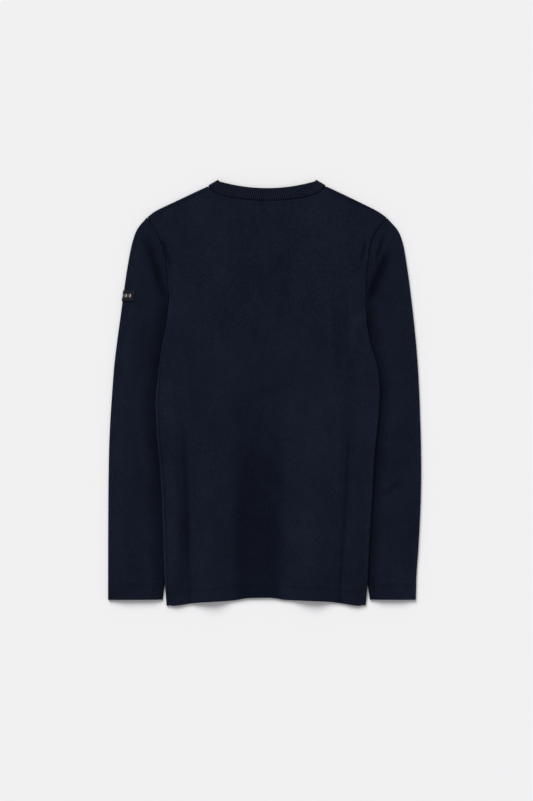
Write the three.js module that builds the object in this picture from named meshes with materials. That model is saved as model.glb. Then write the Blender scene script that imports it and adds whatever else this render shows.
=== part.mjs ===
// A fine wool pullover laid flat on its front, so that its back faces up. Millimetres, +Z up.
// +X is the right of the laid garment seen from above, and +Y runs from the hem to the neck.
// Every piece is cloth with a real wall: a front and a back panel, two sleeves, a ribbed neck band and
// a small woven label. The panels lie on each other, with air between them where the back stands up.
import * as THREE from "three";

// Cloth
const WALL = 1.8;
const SEAM_GAP = 0.35;
const FOLD_INSET = 3;
const BACK_MARGIN = 7;
const SEAM_TURN = 0.08;

// Heights of the laid layers
const CHEST_AIR = 2.5;
const LOWER_AIR = 1.2;
const EDGE_AIR = 1.2;
const LEAST_AIR = 0.9;
const TUCKED_HEIGHT = 4.3;
const TUCK_LIFT = 5.1;
const TUCK_SHELF = 8;
const TUCK_RAMP = 26;
const SLEEVE_CROWN = 9.2;
const CUFF_CROWN = 8.6;
const SLEEVE_FOLD_HEIGHT = 5.6;
const CROWN_START = 3;
const CROWN_RISE = 24;

// Where those heights change along the garment, and over what length
const UNDERARM_LEFT_Y = 152;
const UNDERARM_RIGHT_Y = 141;
const TUCK_TOP_RUN = 18;
const TUCK_LOW_Y = -352;
const TUCK_LOW_RUN = 46;
const AIR_LOW_Y = -60;
const AIR_RUN = 260;
const EDGE_AIR_ABOVE = 10;
const EDGE_AIR_RUN = 60;
const EDGE_AIR_START = 4;
const EDGE_AIR_WIDTH = 40;
const SEAM_STEP_BELOW = 18;
const SEAM_STEP_RUN = 16;
const CUFF_Y = -341;
const CROWN_GROWTH_RUN = 160;
const HEAD_Y = 200;
const HEAD_RUN = 90;
const HEAD_FLATTENING = 0.45;
const SLEEVE_FOLD_START = 2;
const SLEEVE_FOLD_RUN = 8;

// Ribbed neck band
const BAND_WALL = 2.4;
const RIB_RAISE = 0.4;
const RIB_BEVEL = 0.5;
const RIB_START_SHARE = 0.06;
const RIB_END_SHARE = 0.92;
const NECK_CENTRE = 4;
const BAND_SEAM_HALF = 93.2;
const BAND_EDGE_HALF = 79;
const BAND_CORNER_Y = 338.6;
const BAND_EDGE_CORNER_Y = 350.2;
const BAND_EDGE_MIDDLE_Y = 339;
const FRONT_SEAM_Y = 253;
const FRONT_EDGE_Y = 274;
const BAND_LEVEL = 5.1;
const BACK_RIBS = 56;
const FRONT_RIBS = 82;
const CORNER_STEPS = 4;
const BAND_CURVE_STEPS = 32;
const BODY_NECK_HALF = 96.5;
const NECK_CORNER_Y = 343.2;
const NECK_GAP = 0.8;

// Woven label on the outer fold of the left sleeve
const LABEL_LOW_Y = 152;
const LABEL_HIGH_Y = 170;
const LABEL_REACH = 19;
const LABEL_WALL = 1;
const LABEL_GAP = 0.45;
const LABEL_FOLD_ANGLES = [-25, 0, 30, 60];
const LABEL_ROWS = 4;
const LABEL_COLUMNS = 7;

// How finely the cloth is divided
const SIDE_ROWS = 15;
const ARMHOLE_ROWS = 9;
const FOLD_STEPS = 3;
const SHOULDER_COLUMNS = 9;
const BACK_NECK_COLUMNS = 15;
const FRONT_NECK_COLUMNS = 14;
const SLEEVE_ROWS = 11;
const SLEEVE_HEAD_ROWS = 8;
const SLEEVE_HEAD_LENGTH = 40;
const SLEEVE_HEAD_SLANT = 20;

// Colours and finish
const NAVY = 0x15192a;
const CHARCOAL = 0x26272c;
const WOOL_ROUGHNESS = 0.95;
const RIB_ROUGHNESS = 0.92;
const LABEL_ROUGHNESS = 0.7;

// The body's edge from hem corner to shoulder tip: the side fold to the underarm, then the armhole seam.
const BODY_LEFT = [
  { y: -350, x: -162.3 },
  { y: -328, x: -164 },
  { y: -255, x: -166.8 },
  { y: -194, x: -168.6 },
  { y: -133, x: -171.9 },
  { y: -75, x: -177 },
  { y: -11, x: -180 },
  { y: 21, x: -177 },
  { y: 69, x: -170.6 },
  { y: 115, x: -161.9 },
  { y: 152, x: -158.1 },
  { y: 187, x: -160.2 },
  { y: 212, x: -162.7 },
  { y: 233, x: -166 },
  { y: 253, x: -172.6 },
  { y: 273, x: -182.5 },
  { y: 291.4, x: -193.8 },
];
const BODY_RIGHT = [
  { y: -350, x: 167 },
  { y: -313, x: 169.8 },
  { y: -234, x: 173.9 },
  { y: -153, x: 178.9 },
  { y: -97, x: 182.2 },
  { y: -57, x: 186.6 },
  { y: -11, x: 189.9 },
  { y: 31, x: 189.1 },
  { y: 57, x: 181.5 },
  { y: 82, x: 175.2 },
  { y: 114, x: 169 },
  { y: 141, x: 167.3 },
  { y: 179, x: 168.6 },
  { y: 204, x: 169.4 },
  { y: 223, x: 172 },
  { y: 248, x: 175.6 },
  { y: 266, x: 183.8 },
  { y: 290, x: 202 },
];
const SHOULDER_LEFT = [
  { x: -193.8, y: 291.4 },
  { x: -182.8, y: 299.6 },
  { x: -170.8, y: 306 },
  { x: -143.6, y: 318.8 },
  { x: -113.2, y: 333.2 },
  { x: -100, y: 339.4 },
  { x: -92.5, y: NECK_CORNER_Y },
];
const SHOULDER_RIGHT = [
  { x: 100.5, y: NECK_CORNER_Y },
  { x: 108, y: 339.4 },
  { x: 123.8, y: 331.8 },
  { x: 150.8, y: 318.8 },
  { x: 177.7, y: 305.6 },
  { x: 189.4, y: 299.2 },
  { x: 202, y: 290 },
];
// The back neck seam, by its share of the way from the middle to the corner.
const BACK_NECK = [
  { share: 0, y: 318.2 },
  { share: 0.25, y: 319 },
  { share: 0.57, y: 322.4 },
  { share: 0.74, y: 326 },
  { share: 0.88, y: 331 },
  { share: 1, y: 341.5 },
];
// The hem, which the raised folds push out and the middle trough draws in.
const HEM = [
  { x: -162.3, y: -350 },
  { x: -150, y: -351 },
  { x: -113, y: -345.9 },
  { x: -93, y: -344.1 },
  { x: -50, y: -341.9 },
  { x: -31, y: -338.6 },
  { x: -8, y: -337.8 },
  { x: 17, y: -338 },
  { x: 30, y: -340.8 },
  { x: 75, y: -342.3 },
  { x: 105, y: -344.1 },
  { x: 137, y: -348.4 },
  { x: 154, y: -351 },
  { x: 167, y: -350 },
];
// A sleeve's outer fold runs from the cuff to the shoulder tip, and its inner fold from the cuff to the
// underarm, tucked under the body's side below it.
const SLEEVE_LEFT_OUTER = [
  { y: CUFF_Y, x: -258.8 },
  { y: -176, x: -258.3 },
  { y: -77, x: -256.6 },
  { y: -11, x: -252.8 },
  { y: 55, x: -247.6 },
  { y: 121, x: -238.9 },
  { y: 187, x: -230 },
  { y: 220, x: -224.7 },
  { y: 246, x: -219.4 },
  { y: 266, x: -213 },
  { y: 279.4, x: -205.1 },
  { y: 291.4, x: -193.8 },
];
const SLEEVE_LEFT_INNER = [
  { y: CUFF_Y, x: -168.5 },
  { y: -308, x: -164.3 },
  { y: -250, x: -154.4 },
  { y: -160, x: -142.9 },
  { y: -77, x: -136 },
  { y: -11, x: -135 },
  { y: 30, x: -139.5 },
  { y: 70, x: -148 },
  { y: 100, x: -156 },
  { y: 128, x: -161.4 },
  { y: 152, x: -159.4 },
];
const SLEEVE_RIGHT_OUTER = [
  { y: CUFF_Y, x: 249.8 },
  { y: -308, x: 250.5 },
  { y: -242, x: 254.8 },
  { y: -176, x: 257.8 },
  { y: -110, x: 258.5 },
  { y: -11, x: 255.9 },
  { y: 55, x: 252.3 },
  { y: 121, x: 246.3 },
  { y: 187, x: 238.4 },
  { y: 220, x: 233.5 },
  { y: 246, x: 228.9 },
  { y: 266, x: 221.8 },
  { y: 279.4, x: 213 },
  { y: 290, x: 202 },
];
const SLEEVE_RIGHT_INNER = [
  { y: CUFF_Y, x: 173.9 },
  { y: -308, x: 169 },
  { y: -250, x: 159 },
  { y: -160, x: 147.5 },
  { y: -77, x: 141 },
  { y: -11, x: 141 },
  { y: 25, x: 145.5 },
  { y: 60, x: 155 },
  { y: 92, x: 165 },
  { y: 118, x: 170.6 },
  { y: 141, x: 168.6 },
];

// Where the side seam lies: how far it is carried over the fold onto the back, up the left side and
// along both shoulders, in shares of the fold's inset past the fold's outermost line.
const LEFT_SEAM_OVER = [
  { y: -352, over: 1.33 },
  { y: -40, over: 1.33 },
  { y: 30, over: 1.1 },
  { y: 80, over: 0 },
  { y: 360, over: 0 },
];
const SHOULDER_SEAM_OVER = [
  { share: 0, over: 0 },
  { share: 0.12, over: 0.1 },
  { share: 0.34, over: 1 },
  { share: 0.5, over: 1.33 },
  { share: 0.86, over: 1.33 },
  { share: 1, over: 0.3 },
];

// Long soft ridges (rise above 0) and troughs (rise below 0) of the laid back panel.
const BACK_FOLDS = [
  { x0: -95, y0: 20, x1: -88, y1: -356, width: 40, rise: 8.4, fadeIn: 300, fadeOut: 0 },
  { x0: 84, y0: 20, x1: 77, y1: -356, width: 43, rise: 8.2, fadeIn: 300, fadeOut: 0 },
  { x0: -129.7, y0: 0, x1: -124, y1: -356, width: 8, rise: -1.6, fadeIn: 80, fadeOut: 0 },
  { x0: 136, y0: 10, x1: 123, y1: -356, width: 8, rise: -1.6, fadeIn: 80, fadeOut: 0 },
  { x0: -172, y0: 266, x1: -151, y1: 196, width: 9, rise: -1.1, fadeIn: 20, fadeOut: 25 },
  { x0: 168, y0: 256, x1: 156, y1: 204, width: 9, rise: -1.1, fadeIn: 20, fadeOut: 25 },
];
const SLEEVE_FOLDS = {
  left: [
    { x0: -196, y0: 258, x1: -168, y1: 190, width: 9, rise: -2, fadeIn: 15, fadeOut: 30 },
    { x0: -186, y0: 150, x1: -199, y1: 40, width: 16, rise: -0.9, fadeIn: 40, fadeOut: 50 },
  ],
  right: [
    { x0: 191, y0: 256, x1: 180, y1: 204, width: 7, rise: -2.2, fadeIn: 12, fadeOut: 24 },
    { x0: 208, y0: 230, x1: 175, y1: 146, width: 10, rise: -1.6, fadeIn: 15, fadeOut: 30 },
    { x0: 232, y0: -144, x1: 192, y1: -174, width: 8, rise: -1.2, fadeIn: 12, fadeOut: 14 },
  ],
};

const DEGREE = Math.PI / 180;

function lastOf(rows) {
  return rows[rows.length - 1];
}

// Value of a table's column at a place between its rows, along a smooth curve through them.
function lookUp(rows, keyName, valueName, place) {
  const last = rows.length - 1;
  const at = THREE.MathUtils.clamp(place, rows[0][keyName], rows[last][keyName]);
  let k = 0;
  while (k < last - 1 && rows[k + 1][keyName] < at) k += 1;
  const slope = (a, b) =>
    (rows[b][valueName] - rows[a][valueName]) / (rows[b][keyName] - rows[a][keyName]);
  const span = rows[k + 1][keyName] - rows[k][keyName];
  const startSlope = k === 0 ? slope(0, 1) : slope(k - 1, k + 1);
  const endSlope = k + 1 === last ? slope(k, k + 1) : slope(k, k + 2);
  const t = (at - rows[k][keyName]) / span;
  const rest = 1 - t;
  const startPull = startSlope * span * t * rest * rest;
  const endPull = endSlope * span * t * t * rest;
  const start = rows[k][valueName] * (1 + 2 * t) * rest * rest;
  const end = rows[k + 1][valueName] * (3 - 2 * t) * t * t;
  return start + startPull + end - endPull;
}

function smooth(share) {
  return THREE.MathUtils.smoothstep(share, 0, 1);
}

function mix(a, b, share) {
  return a + (b - a) * share;
}

// Sum of the soft ridges and troughs of a table at one place.
function foldRise(folds, x, y) {
  let sum = 0;
  for (const fold of folds) {
    const along = new THREE.Vector2(fold.x1 - fold.x0, fold.y1 - fold.y0);
    const length = along.length();
    along.divideScalar(length);
    const reach = (x - fold.x0) * along.x + (y - fold.y0) * along.y;
    const aside = Math.abs((x - fold.x0) * along.y - (y - fold.y0) * along.x) / fold.width;
    if (aside >= 1 || reach <= 0) continue;
    const start = smooth(reach / fold.fadeIn);
    const end = fold.fadeOut > 0 ? smooth((length - reach) / fold.fadeOut) : 1;
    sum += fold.rise * start * end * (0.5 + 0.5 * Math.cos(Math.PI * aside));
  }
  return sum;
}

const SIDES = {
  left: {
    sign: -1,
    body: BODY_LEFT,
    underarm: UNDERARM_LEFT_Y,
    outer: SLEEVE_LEFT_OUTER,
    inner: SLEEVE_LEFT_INNER,
    folds: SLEEVE_FOLDS.left,
  },
  right: {
    sign: 1,
    body: BODY_RIGHT,
    underarm: UNDERARM_RIGHT_Y,
    outer: SLEEVE_RIGHT_OUTER,
    inner: SLEEVE_RIGHT_INNER,
    folds: SLEEVE_FOLDS.right,
  },
};

// Height of the shoulder tip, where the body's edge ends.
function tipY(side) {
  return lastOf(side.body).y;
}

// Distance of a place outside the body's edge on one side, less than 0 inside it.
function outsideBody(side, x, y) {
  return side.sign * (x - lookUp(side.body, "y", "x", y));
}

// How high the front panel rides on the sleeve that is tucked under it.
function lift(x, y) {
  let most = 0;
  for (const side of [SIDES.left, SIDES.right]) {
    const inside = side.sign * (lookUp(side.inner, "y", "x", y) - x);
    const slope = smooth(1 - (inside - TUCK_SHELF) / TUCK_RAMP);
    const start = smooth((side.underarm - 1 - y) / TUCK_TOP_RUN);
    const end = smooth((y - TUCK_LOW_Y) / TUCK_LOW_RUN);
    most = Math.max(most, TUCK_LIFT * slope * start * end);
  }
  return most;
}

// Air between the front and the back panel.
function air(x, y) {
  const upper = smooth((y - AIR_LOW_Y) / AIR_RUN);
  const middle = mix(LOWER_AIR, CHEST_AIR, upper);
  let edge = 1;
  for (const side of [SIDES.left, SIDES.right]) {
    const below = smooth((side.underarm + EDGE_AIR_ABOVE - y) / EDGE_AIR_RUN);
    const near = 1 - smooth((-outsideBody(side, x, y) - EDGE_AIR_START) / EDGE_AIR_WIDTH);
    edge = Math.min(edge, 1 - near * below);
  }
  const rise = foldRise(BACK_FOLDS, x, y);
  return Math.max(LEAST_AIR, mix(EDGE_AIR, middle, edge) + rise);
}

// Lowest and highest level of the laid body at a place.
function bodyLevels(x, y) {
  const low = lift(x, y);
  return { low, high: low + 2 * WALL + air(x, y) };
}

// Highest level of a laid sleeve at a place.
function sleeveTop(side, x, y) {
  const armholeLevel = 2 * WALL + CHEST_AIR;
  const seamStep = smooth((y - side.underarm + SEAM_STEP_BELOW) / SEAM_STEP_RUN);
  const seamLevel = mix(TUCKED_HEIGHT, armholeLevel, seamStep);
  const fromBody = outsideBody(side, x, y);
  const fromFold = side.sign * (lookUp(side.outer, "y", "x", y) - x);
  const share = THREE.MathUtils.clamp(fromBody / Math.max(1, fromBody + fromFold), 0, 1);
  const base = mix(seamLevel, SLEEVE_FOLD_HEIGHT, smooth(share));
  const crown = mix(CUFF_CROWN, SLEEVE_CROWN, smooth((y - CUFF_Y) / CROWN_GROWTH_RUN));
  const head = 1 - HEAD_FLATTENING * smooth((y - HEAD_Y) / HEAD_RUN);
  const riseIn = smooth((fromBody - CROWN_START) / CROWN_RISE);
  const riseOut = smooth((fromFold - FOLD_INSET) / CROWN_RISE);
  const folded = foldRise(side.folds, x, y) * smooth((fromBody - SLEEVE_FOLD_START) / SLEEVE_FOLD_RUN);
  return Math.max(TUCKED_HEIGHT, base + (crown - base) * riseIn * riseOut * head + folded);
}

// Patch between four edges that share their corners: each is a list of plan points.
function blendPatch(low, high, left, right) {
  const columns = low.length - 1;
  const rows = left.length - 1;
  const corner = [low[0], low[columns], high[0], high[columns]];
  const lowSpan = corner[1].x - corner[0].x;
  return (i, j) => {
    const v = j / rows;
    const u = (low[i].x - corner[0].x) / lowSpan;
    const point = new THREE.Vector2();
    point.addScaledVector(low[i], 1 - v).addScaledVector(high[i], v);
    point.addScaledVector(left[j], 1 - u).addScaledVector(right[j], u);
    point.addScaledVector(corner[0], -(1 - u) * (1 - v)).addScaledVector(corner[1], -u * (1 - v));
    point.addScaledVector(corner[2], -(1 - u) * v).addScaledVector(corner[3], -u * v);
    return point;
  };
}

// Unit vectors that point into the cloth along an edge whose cloth lies on the given hand (1 left, -1
// right), lengthened at corners so that an inset keeps its distance to both sides of the corner.
function inwardAlong(points, hand) {
  const normals = points.slice(1).map((point, k) => {
    const run = point.clone().sub(points[k]).normalize();
    return new THREE.Vector2(-run.y * hand, run.x * hand);
  });
  return points.map((_, k) => {
    const before = normals[Math.max(0, k - 1)];
    const after = normals[Math.min(normals.length - 1, k)];
    const both = before.clone().add(after);
    return both.divideScalar(1 + before.dot(after));
  });
}

function shifted(points, directions, distance) {
  return points.map((point, k) => point.clone().addScaledVector(directions[k], distance));
}

function countTo(count, make) {
  return Array.from({ length: count + 1 }, (_, k) => make(k));
}

// Closed solid between an outer and an inner grid of points, joined along the grid's open edges.
// A ring closes on itself along its columns.
function clothSolid(outer, inner, ring) {
  const rows = outer.length;
  const columns = outer[0].length;
  const place = (wall, j, i) => (wall * rows + j) * columns + (i % columns);
  const faces = [];
  const quad = (a, b, c, d) => faces.push(a, b, c, a, c, d);
  const lastColumn = ring ? columns : columns - 1;
  for (let j = 0; j < rows - 1; j += 1) {
    for (let i = 0; i < lastColumn; i += 1) {
      quad(place(0, j, i), place(0, j, i + 1), place(0, j + 1, i + 1), place(0, j + 1, i));
      quad(place(1, j, i), place(1, j + 1, i), place(1, j + 1, i + 1), place(1, j, i + 1));
    }
    if (ring) continue;
    quad(place(0, j, 0), place(0, j + 1, 0), place(1, j + 1, 0), place(1, j, 0));
    const end = columns - 1;
    quad(place(0, j, end), place(1, j, end), place(1, j + 1, end), place(0, j + 1, end));
  }
  for (let i = 0; i < lastColumn; i += 1) {
    quad(place(0, 0, i), place(1, 0, i), place(1, 0, i + 1), place(0, 0, i + 1));
    const end = rows - 1;
    quad(place(0, end, i), place(0, end, i + 1), place(1, end, i + 1), place(1, end, i));
  }
  return closedGeometry([...outer.flat(), ...inner.flat()], faces);
}

// Geometry of a closed surface, turned to face out if its faces face in.
function closedGeometry(points, faces) {
  let volume = 0;
  for (let k = 0; k < faces.length; k += 3) {
    const [a, b, c] = [points[faces[k]], points[faces[k + 1]], points[faces[k + 2]]];
    volume += a.dot(b.clone().cross(c));
  }
  const indices = volume < 0 ? faces.slice().reverse() : faces;
  const geometry = new THREE.BufferGeometry().setFromPoints(points);
  geometry.setIndex(indices);
  geometry.computeVertexNormals();
  return geometry;
}

// Way round a fold, from the lower layer (turn -1) over the outermost line (turn 0) to the upper layer
// (turn 1) and on along it: how far outside the fold's own centre line, and which share of its height.
function foldWay(turn, wall) {
  const angle = THREE.MathUtils.clamp(turn, -1, 1) * 90 * DEGREE;
  const reach = wall === 0 ? FOLD_INSET : FOLD_INSET - WALL;
  const past = Math.max(0, Math.abs(turn) - 1) * FOLD_INSET;
  return { out: reach * Math.cos(angle) - past, share: Math.sin(angle) };
}

// Level of a folded layer's outer (wall 0) or inner (wall 1) face.
function foldLevel(levels, share, wall) {
  const half = (levels.high - levels.low) / 2 - (wall === 0 ? 0 : WALL);
  return (levels.high + levels.low) / 2 + half * share;
}

// The plan of one body panel: its edges, and where each edge is a fold rather than a seam.
function panelPlan(panel) {
  const rowShares = (side) =>
    countTo(SIDE_ROWS + ARMHOLE_ROWS, (j) => {
      const hemY = side.body[0].y;
      if (j <= SIDE_ROWS) return mix(hemY, side.underarm, j / SIDE_ROWS);
      return mix(side.underarm, tipY(side), (j - SIDE_ROWS) / ARMHOLE_ROWS);
    });
  const edgeOf = (side) =>
    rowShares(side).map((y) => new THREE.Vector2(lookUp(side.body, "y", "x", y), y));
  const shoulder = (rows, k) => {
    const x = mix(rows[0].x, lastOf(rows).x, k / SHOULDER_COLUMNS);
    return new THREE.Vector2(x, lookUp(rows, "x", "y", x));
  };
  const left = edgeOf(SIDES.left);
  const right = edgeOf(SIDES.right);
  const top = [
    ...countTo(SHOULDER_COLUMNS - 1, (k) => shoulder(SHOULDER_LEFT, k)),
    ...countTo(panel.neckColumns, (k) => panel.neckPoint(k / panel.neckColumns)),
    ...countTo(SHOULDER_COLUMNS - 1, (k) => shoulder(SHOULDER_RIGHT, k + 1)),
  ];
  const first = top[0].x;
  const span = lastOf(top).x - first;
  const low = top.map((point) => {
    const x = mix(HEM[0].x, lastOf(HEM).x, (point.x - first) / span);
    return new THREE.Vector2(x, lookUp(HEM, "x", "y", x));
  });
  return { left, right, top, low };
}

// One body panel as a wall of cloth. The front covers the lower layer and turns up over the folds to
// the seams, and the back covers the upper layer down to them.
function bodyPanel(panel) {
  const plan = panelPlan(panel);
  const columns = plan.top.length - 1;
  const rows = plan.left.length - 1;
  const margin = panel.margin;
  const leftIn = inwardAlong(plan.left, -1);
  const rightIn = inwardAlong(plan.right, 1);
  const topIn = inwardAlong(plan.top, -1);
  const innerLeft = shifted(plan.left, leftIn, margin);
  const innerRight = shifted(plan.right, rightIn, margin);
  const innerTop = shifted(plan.top, topIn, margin);
  const leftCorner = innerLeft[rows].clone().addScaledVector(topIn[0], margin);
  const rightCorner = innerRight[rows].clone().addScaledVector(topIn[columns], margin);
  innerLeft[rows] = leftCorner;
  innerTop[0] = leftCorner;
  innerRight[rows] = rightCorner;
  innerTop[columns] = rightCorner;
  const low = plan.low.map((point) => point.clone());
  low[0] = innerLeft[0];
  low[columns] = innerRight[0];
  const inside = blendPatch(low, innerTop, innerLeft, innerRight);

  const shoulderEnd = SHOULDER_COLUMNS;
  const sideFold = (j) => (j < SIDE_ROWS ? 1 : j === SIDE_ROWS ? 0.5 : 0);
  const topFold = (i) => {
    const fromEnd = Math.min(i, columns - i);
    return fromEnd < shoulderEnd ? 1 : fromEnd === shoulderEnd ? 0.5 : 0;
  };
  const sideSeam = (i, j) => (i < 0 ? lookUp(LEFT_SEAM_OVER, "y", "over", plan.left[j].y) : 0);
  const topSeam = (i) => {
    const share = Math.min(i, columns - i) / shoulderEnd;
    return share >= 1 ? 0 : lookUp(SHOULDER_SEAM_OVER, "share", "over", share);
  };

  // Offset and level share of step k of the strip beyond an inset edge.
  const strip = (k, folded, seam, gap, wall) => {
    const share = k / FOLD_STEPS;
    const turn = mix(panel.startTurn, seam + panel.hand * SEAM_TURN, share);
    const way = foldWay(turn, wall);
    const flat = (margin - gap) * share;
    return {
      out: mix(flat, margin - FOLD_INSET + way.out, folded),
      share: mix(panel.hand, way.share, folded),
    };
  };

  const grid = (wall) =>
    countTo(rows + FOLD_STEPS, (row) =>
      countTo(columns + 2 * FOLD_STEPS, (column) => {
        const shiftedColumn = column - FOLD_STEPS;
        const i = THREE.MathUtils.clamp(shiftedColumn, 0, columns);
        const j = Math.min(row, rows);
        const beyondSide = Math.abs(shiftedColumn - i);
        const beyondTop = row - j;
        const sideIn = shiftedColumn < 0 ? leftIn[j] : rightIn[j];
        const side = strip(beyondSide, sideFold(j), sideSeam(shiftedColumn, j), SEAM_GAP / 2, wall);
        const atNeck = topFold(i) === 0;
        const top = strip(beyondTop, topFold(i), topSeam(i), atNeck ? NECK_GAP : SEAM_GAP / 2, wall);
        const spot = inside(i, j);
        const probe = spot.clone();
        if (beyondSide > 0) {
          spot.addScaledVector(sideIn, -side.out);
          probe.addScaledVector(sideIn, -Math.min(side.out, margin - FOLD_INSET));
        }
        if (beyondTop > 0) {
          spot.addScaledVector(topIn[i], -top.out);
          probe.addScaledVector(topIn[i], -Math.min(top.out, margin - FOLD_INSET));
        }
        let share = panel.hand;
        if (beyondSide > 0) share = side.share;
        if (beyondTop > 0 && topFold(i) > 0) share = top.share;
        const level = foldLevel(bodyLevels(probe.x, probe.y), share, wall);
        return new THREE.Vector3(spot.x, spot.y, level);
      }),
    );
  return clothSolid(grid(0), grid(1), false);
}

const FRONT_PANEL = {
  hand: -1,
  margin: FOLD_INSET,
  startTurn: -1,
  neckColumns: FRONT_NECK_COLUMNS,
  neckPoint: (share) => {
    const angle = Math.PI * (1 - share);
    const depth = NECK_CORNER_Y - FRONT_SEAM_Y;
    return new THREE.Vector2(
      NECK_CENTRE + BODY_NECK_HALF * Math.cos(angle),
      NECK_CORNER_Y - depth * Math.sin(angle),
    );
  },
};
const BACK_PANEL = {
  hand: 1,
  margin: BACK_MARGIN,
  startTurn: 1 + (BACK_MARGIN - FOLD_INSET) / FOLD_INSET,
  neckColumns: BACK_NECK_COLUMNS,
  neckPoint: (share) => {
    const across = 2 * share - 1;
    const y = lookUp(BACK_NECK, "share", "y", Math.abs(across));
    return new THREE.Vector2(NECK_CENTRE + BODY_NECK_HALF * across, y);
  },
};

// A sleeve as a flattened tube of cloth, open at the cuff and at the armhole.
function sleeve(side) {
  const rows = SLEEVE_ROWS + SLEEVE_HEAD_ROWS;
  const headY = side.underarm - SLEEVE_HEAD_LENGTH;
  const edgeOf = (table, startOfHead, endY) =>
    countTo(rows, (j) => {
      const y =
        j <= SLEEVE_ROWS
          ? mix(CUFF_Y, startOfHead, j / SLEEVE_ROWS)
          : mix(startOfHead, endY, (j - SLEEVE_ROWS) / SLEEVE_HEAD_ROWS);
      return new THREE.Vector2(lookUp(table, "y", "x", y), y);
    });
  const outerEdge = edgeOf(side.outer, headY + SLEEVE_HEAD_SLANT, tipY(side));
  const innerEdge = edgeOf(side.inner, headY - SLEEVE_HEAD_SLANT, side.underarm);
  const outerIn = inwardAlong(outerEdge, side.sign);
  const innerIn = inwardAlong(innerEdge, -side.sign);
  const armhole = countTo(ARMHOLE_ROWS, (i) => {
    const y = mix(tipY(side), side.underarm, i / ARMHOLE_ROWS);
    return new THREE.Vector2(lookUp(side.body, "y", "x", y), y);
  });
  const seam = shifted(armhole, inwardAlong(armhole, side.sign), SEAM_GAP);
  const left = shifted(outerEdge, outerIn, FOLD_INSET);
  const right = shifted(innerEdge, innerIn, FOLD_INSET);
  const tipStep = seam[0].distanceTo(seam[1]);
  left[rows] = seam[0].clone().lerp(seam[1], FOLD_INSET / tipStep);
  seam[0] = left[rows];
  seam[ARMHOLE_ROWS] = right[rows];
  const cuff = countTo(ARMHOLE_ROWS, (i) => left[0].clone().lerp(right[0], i / ARMHOLE_ROWS));
  const inside = blendPatch(cuff, seam, left, right);
  const ringPoint = (spot, out, share, wall) => {
    const levels = { low: 0, high: sleeveTop(side, spot.x, spot.y) };
    const at = spot.clone().add(out);
    return new THREE.Vector3(at.x, at.y, foldLevel(levels, share, wall));
  };
  const noShift = new THREE.Vector2();
  const turns = countTo(2 * FOLD_STEPS - 2, (k) => -1 + (k + 1) / FOLD_STEPS);
  const ring = (j, wall) => {
    const foldTo = (edge, directions, turn) => {
      const way = foldWay(turn, wall);
      return ringPoint(edge[j], directions[j].clone().multiplyScalar(-way.out), way.share, wall);
    };
    return [
      ...countTo(ARMHOLE_ROWS, (i) => ringPoint(inside(i, j), noShift, -1, wall)),
      ...turns.map((turn) => foldTo(right, innerIn, turn)),
      ...countTo(ARMHOLE_ROWS, (i) => ringPoint(inside(ARMHOLE_ROWS - i, j), noShift, 1, wall)),
      ...turns.map((turn) => foldTo(left, outerIn, -turn)),
    ];
  };
  return clothSolid(
    countTo(rows, (j) => ring(j, 0)),
    countTo(rows, (j) => ring(j, 1)),
    true,
  );
}

// Evenly spaced plan points along a smooth curve.
function evenPoints(points, count) {
  const curve = new THREE.CatmullRomCurve3(points.map((p) => new THREE.Vector3(p.x, p.y, 0)));
  curve.arcLengthDivisions = 400;
  return curve.getSpacedPoints(count);
}

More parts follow.
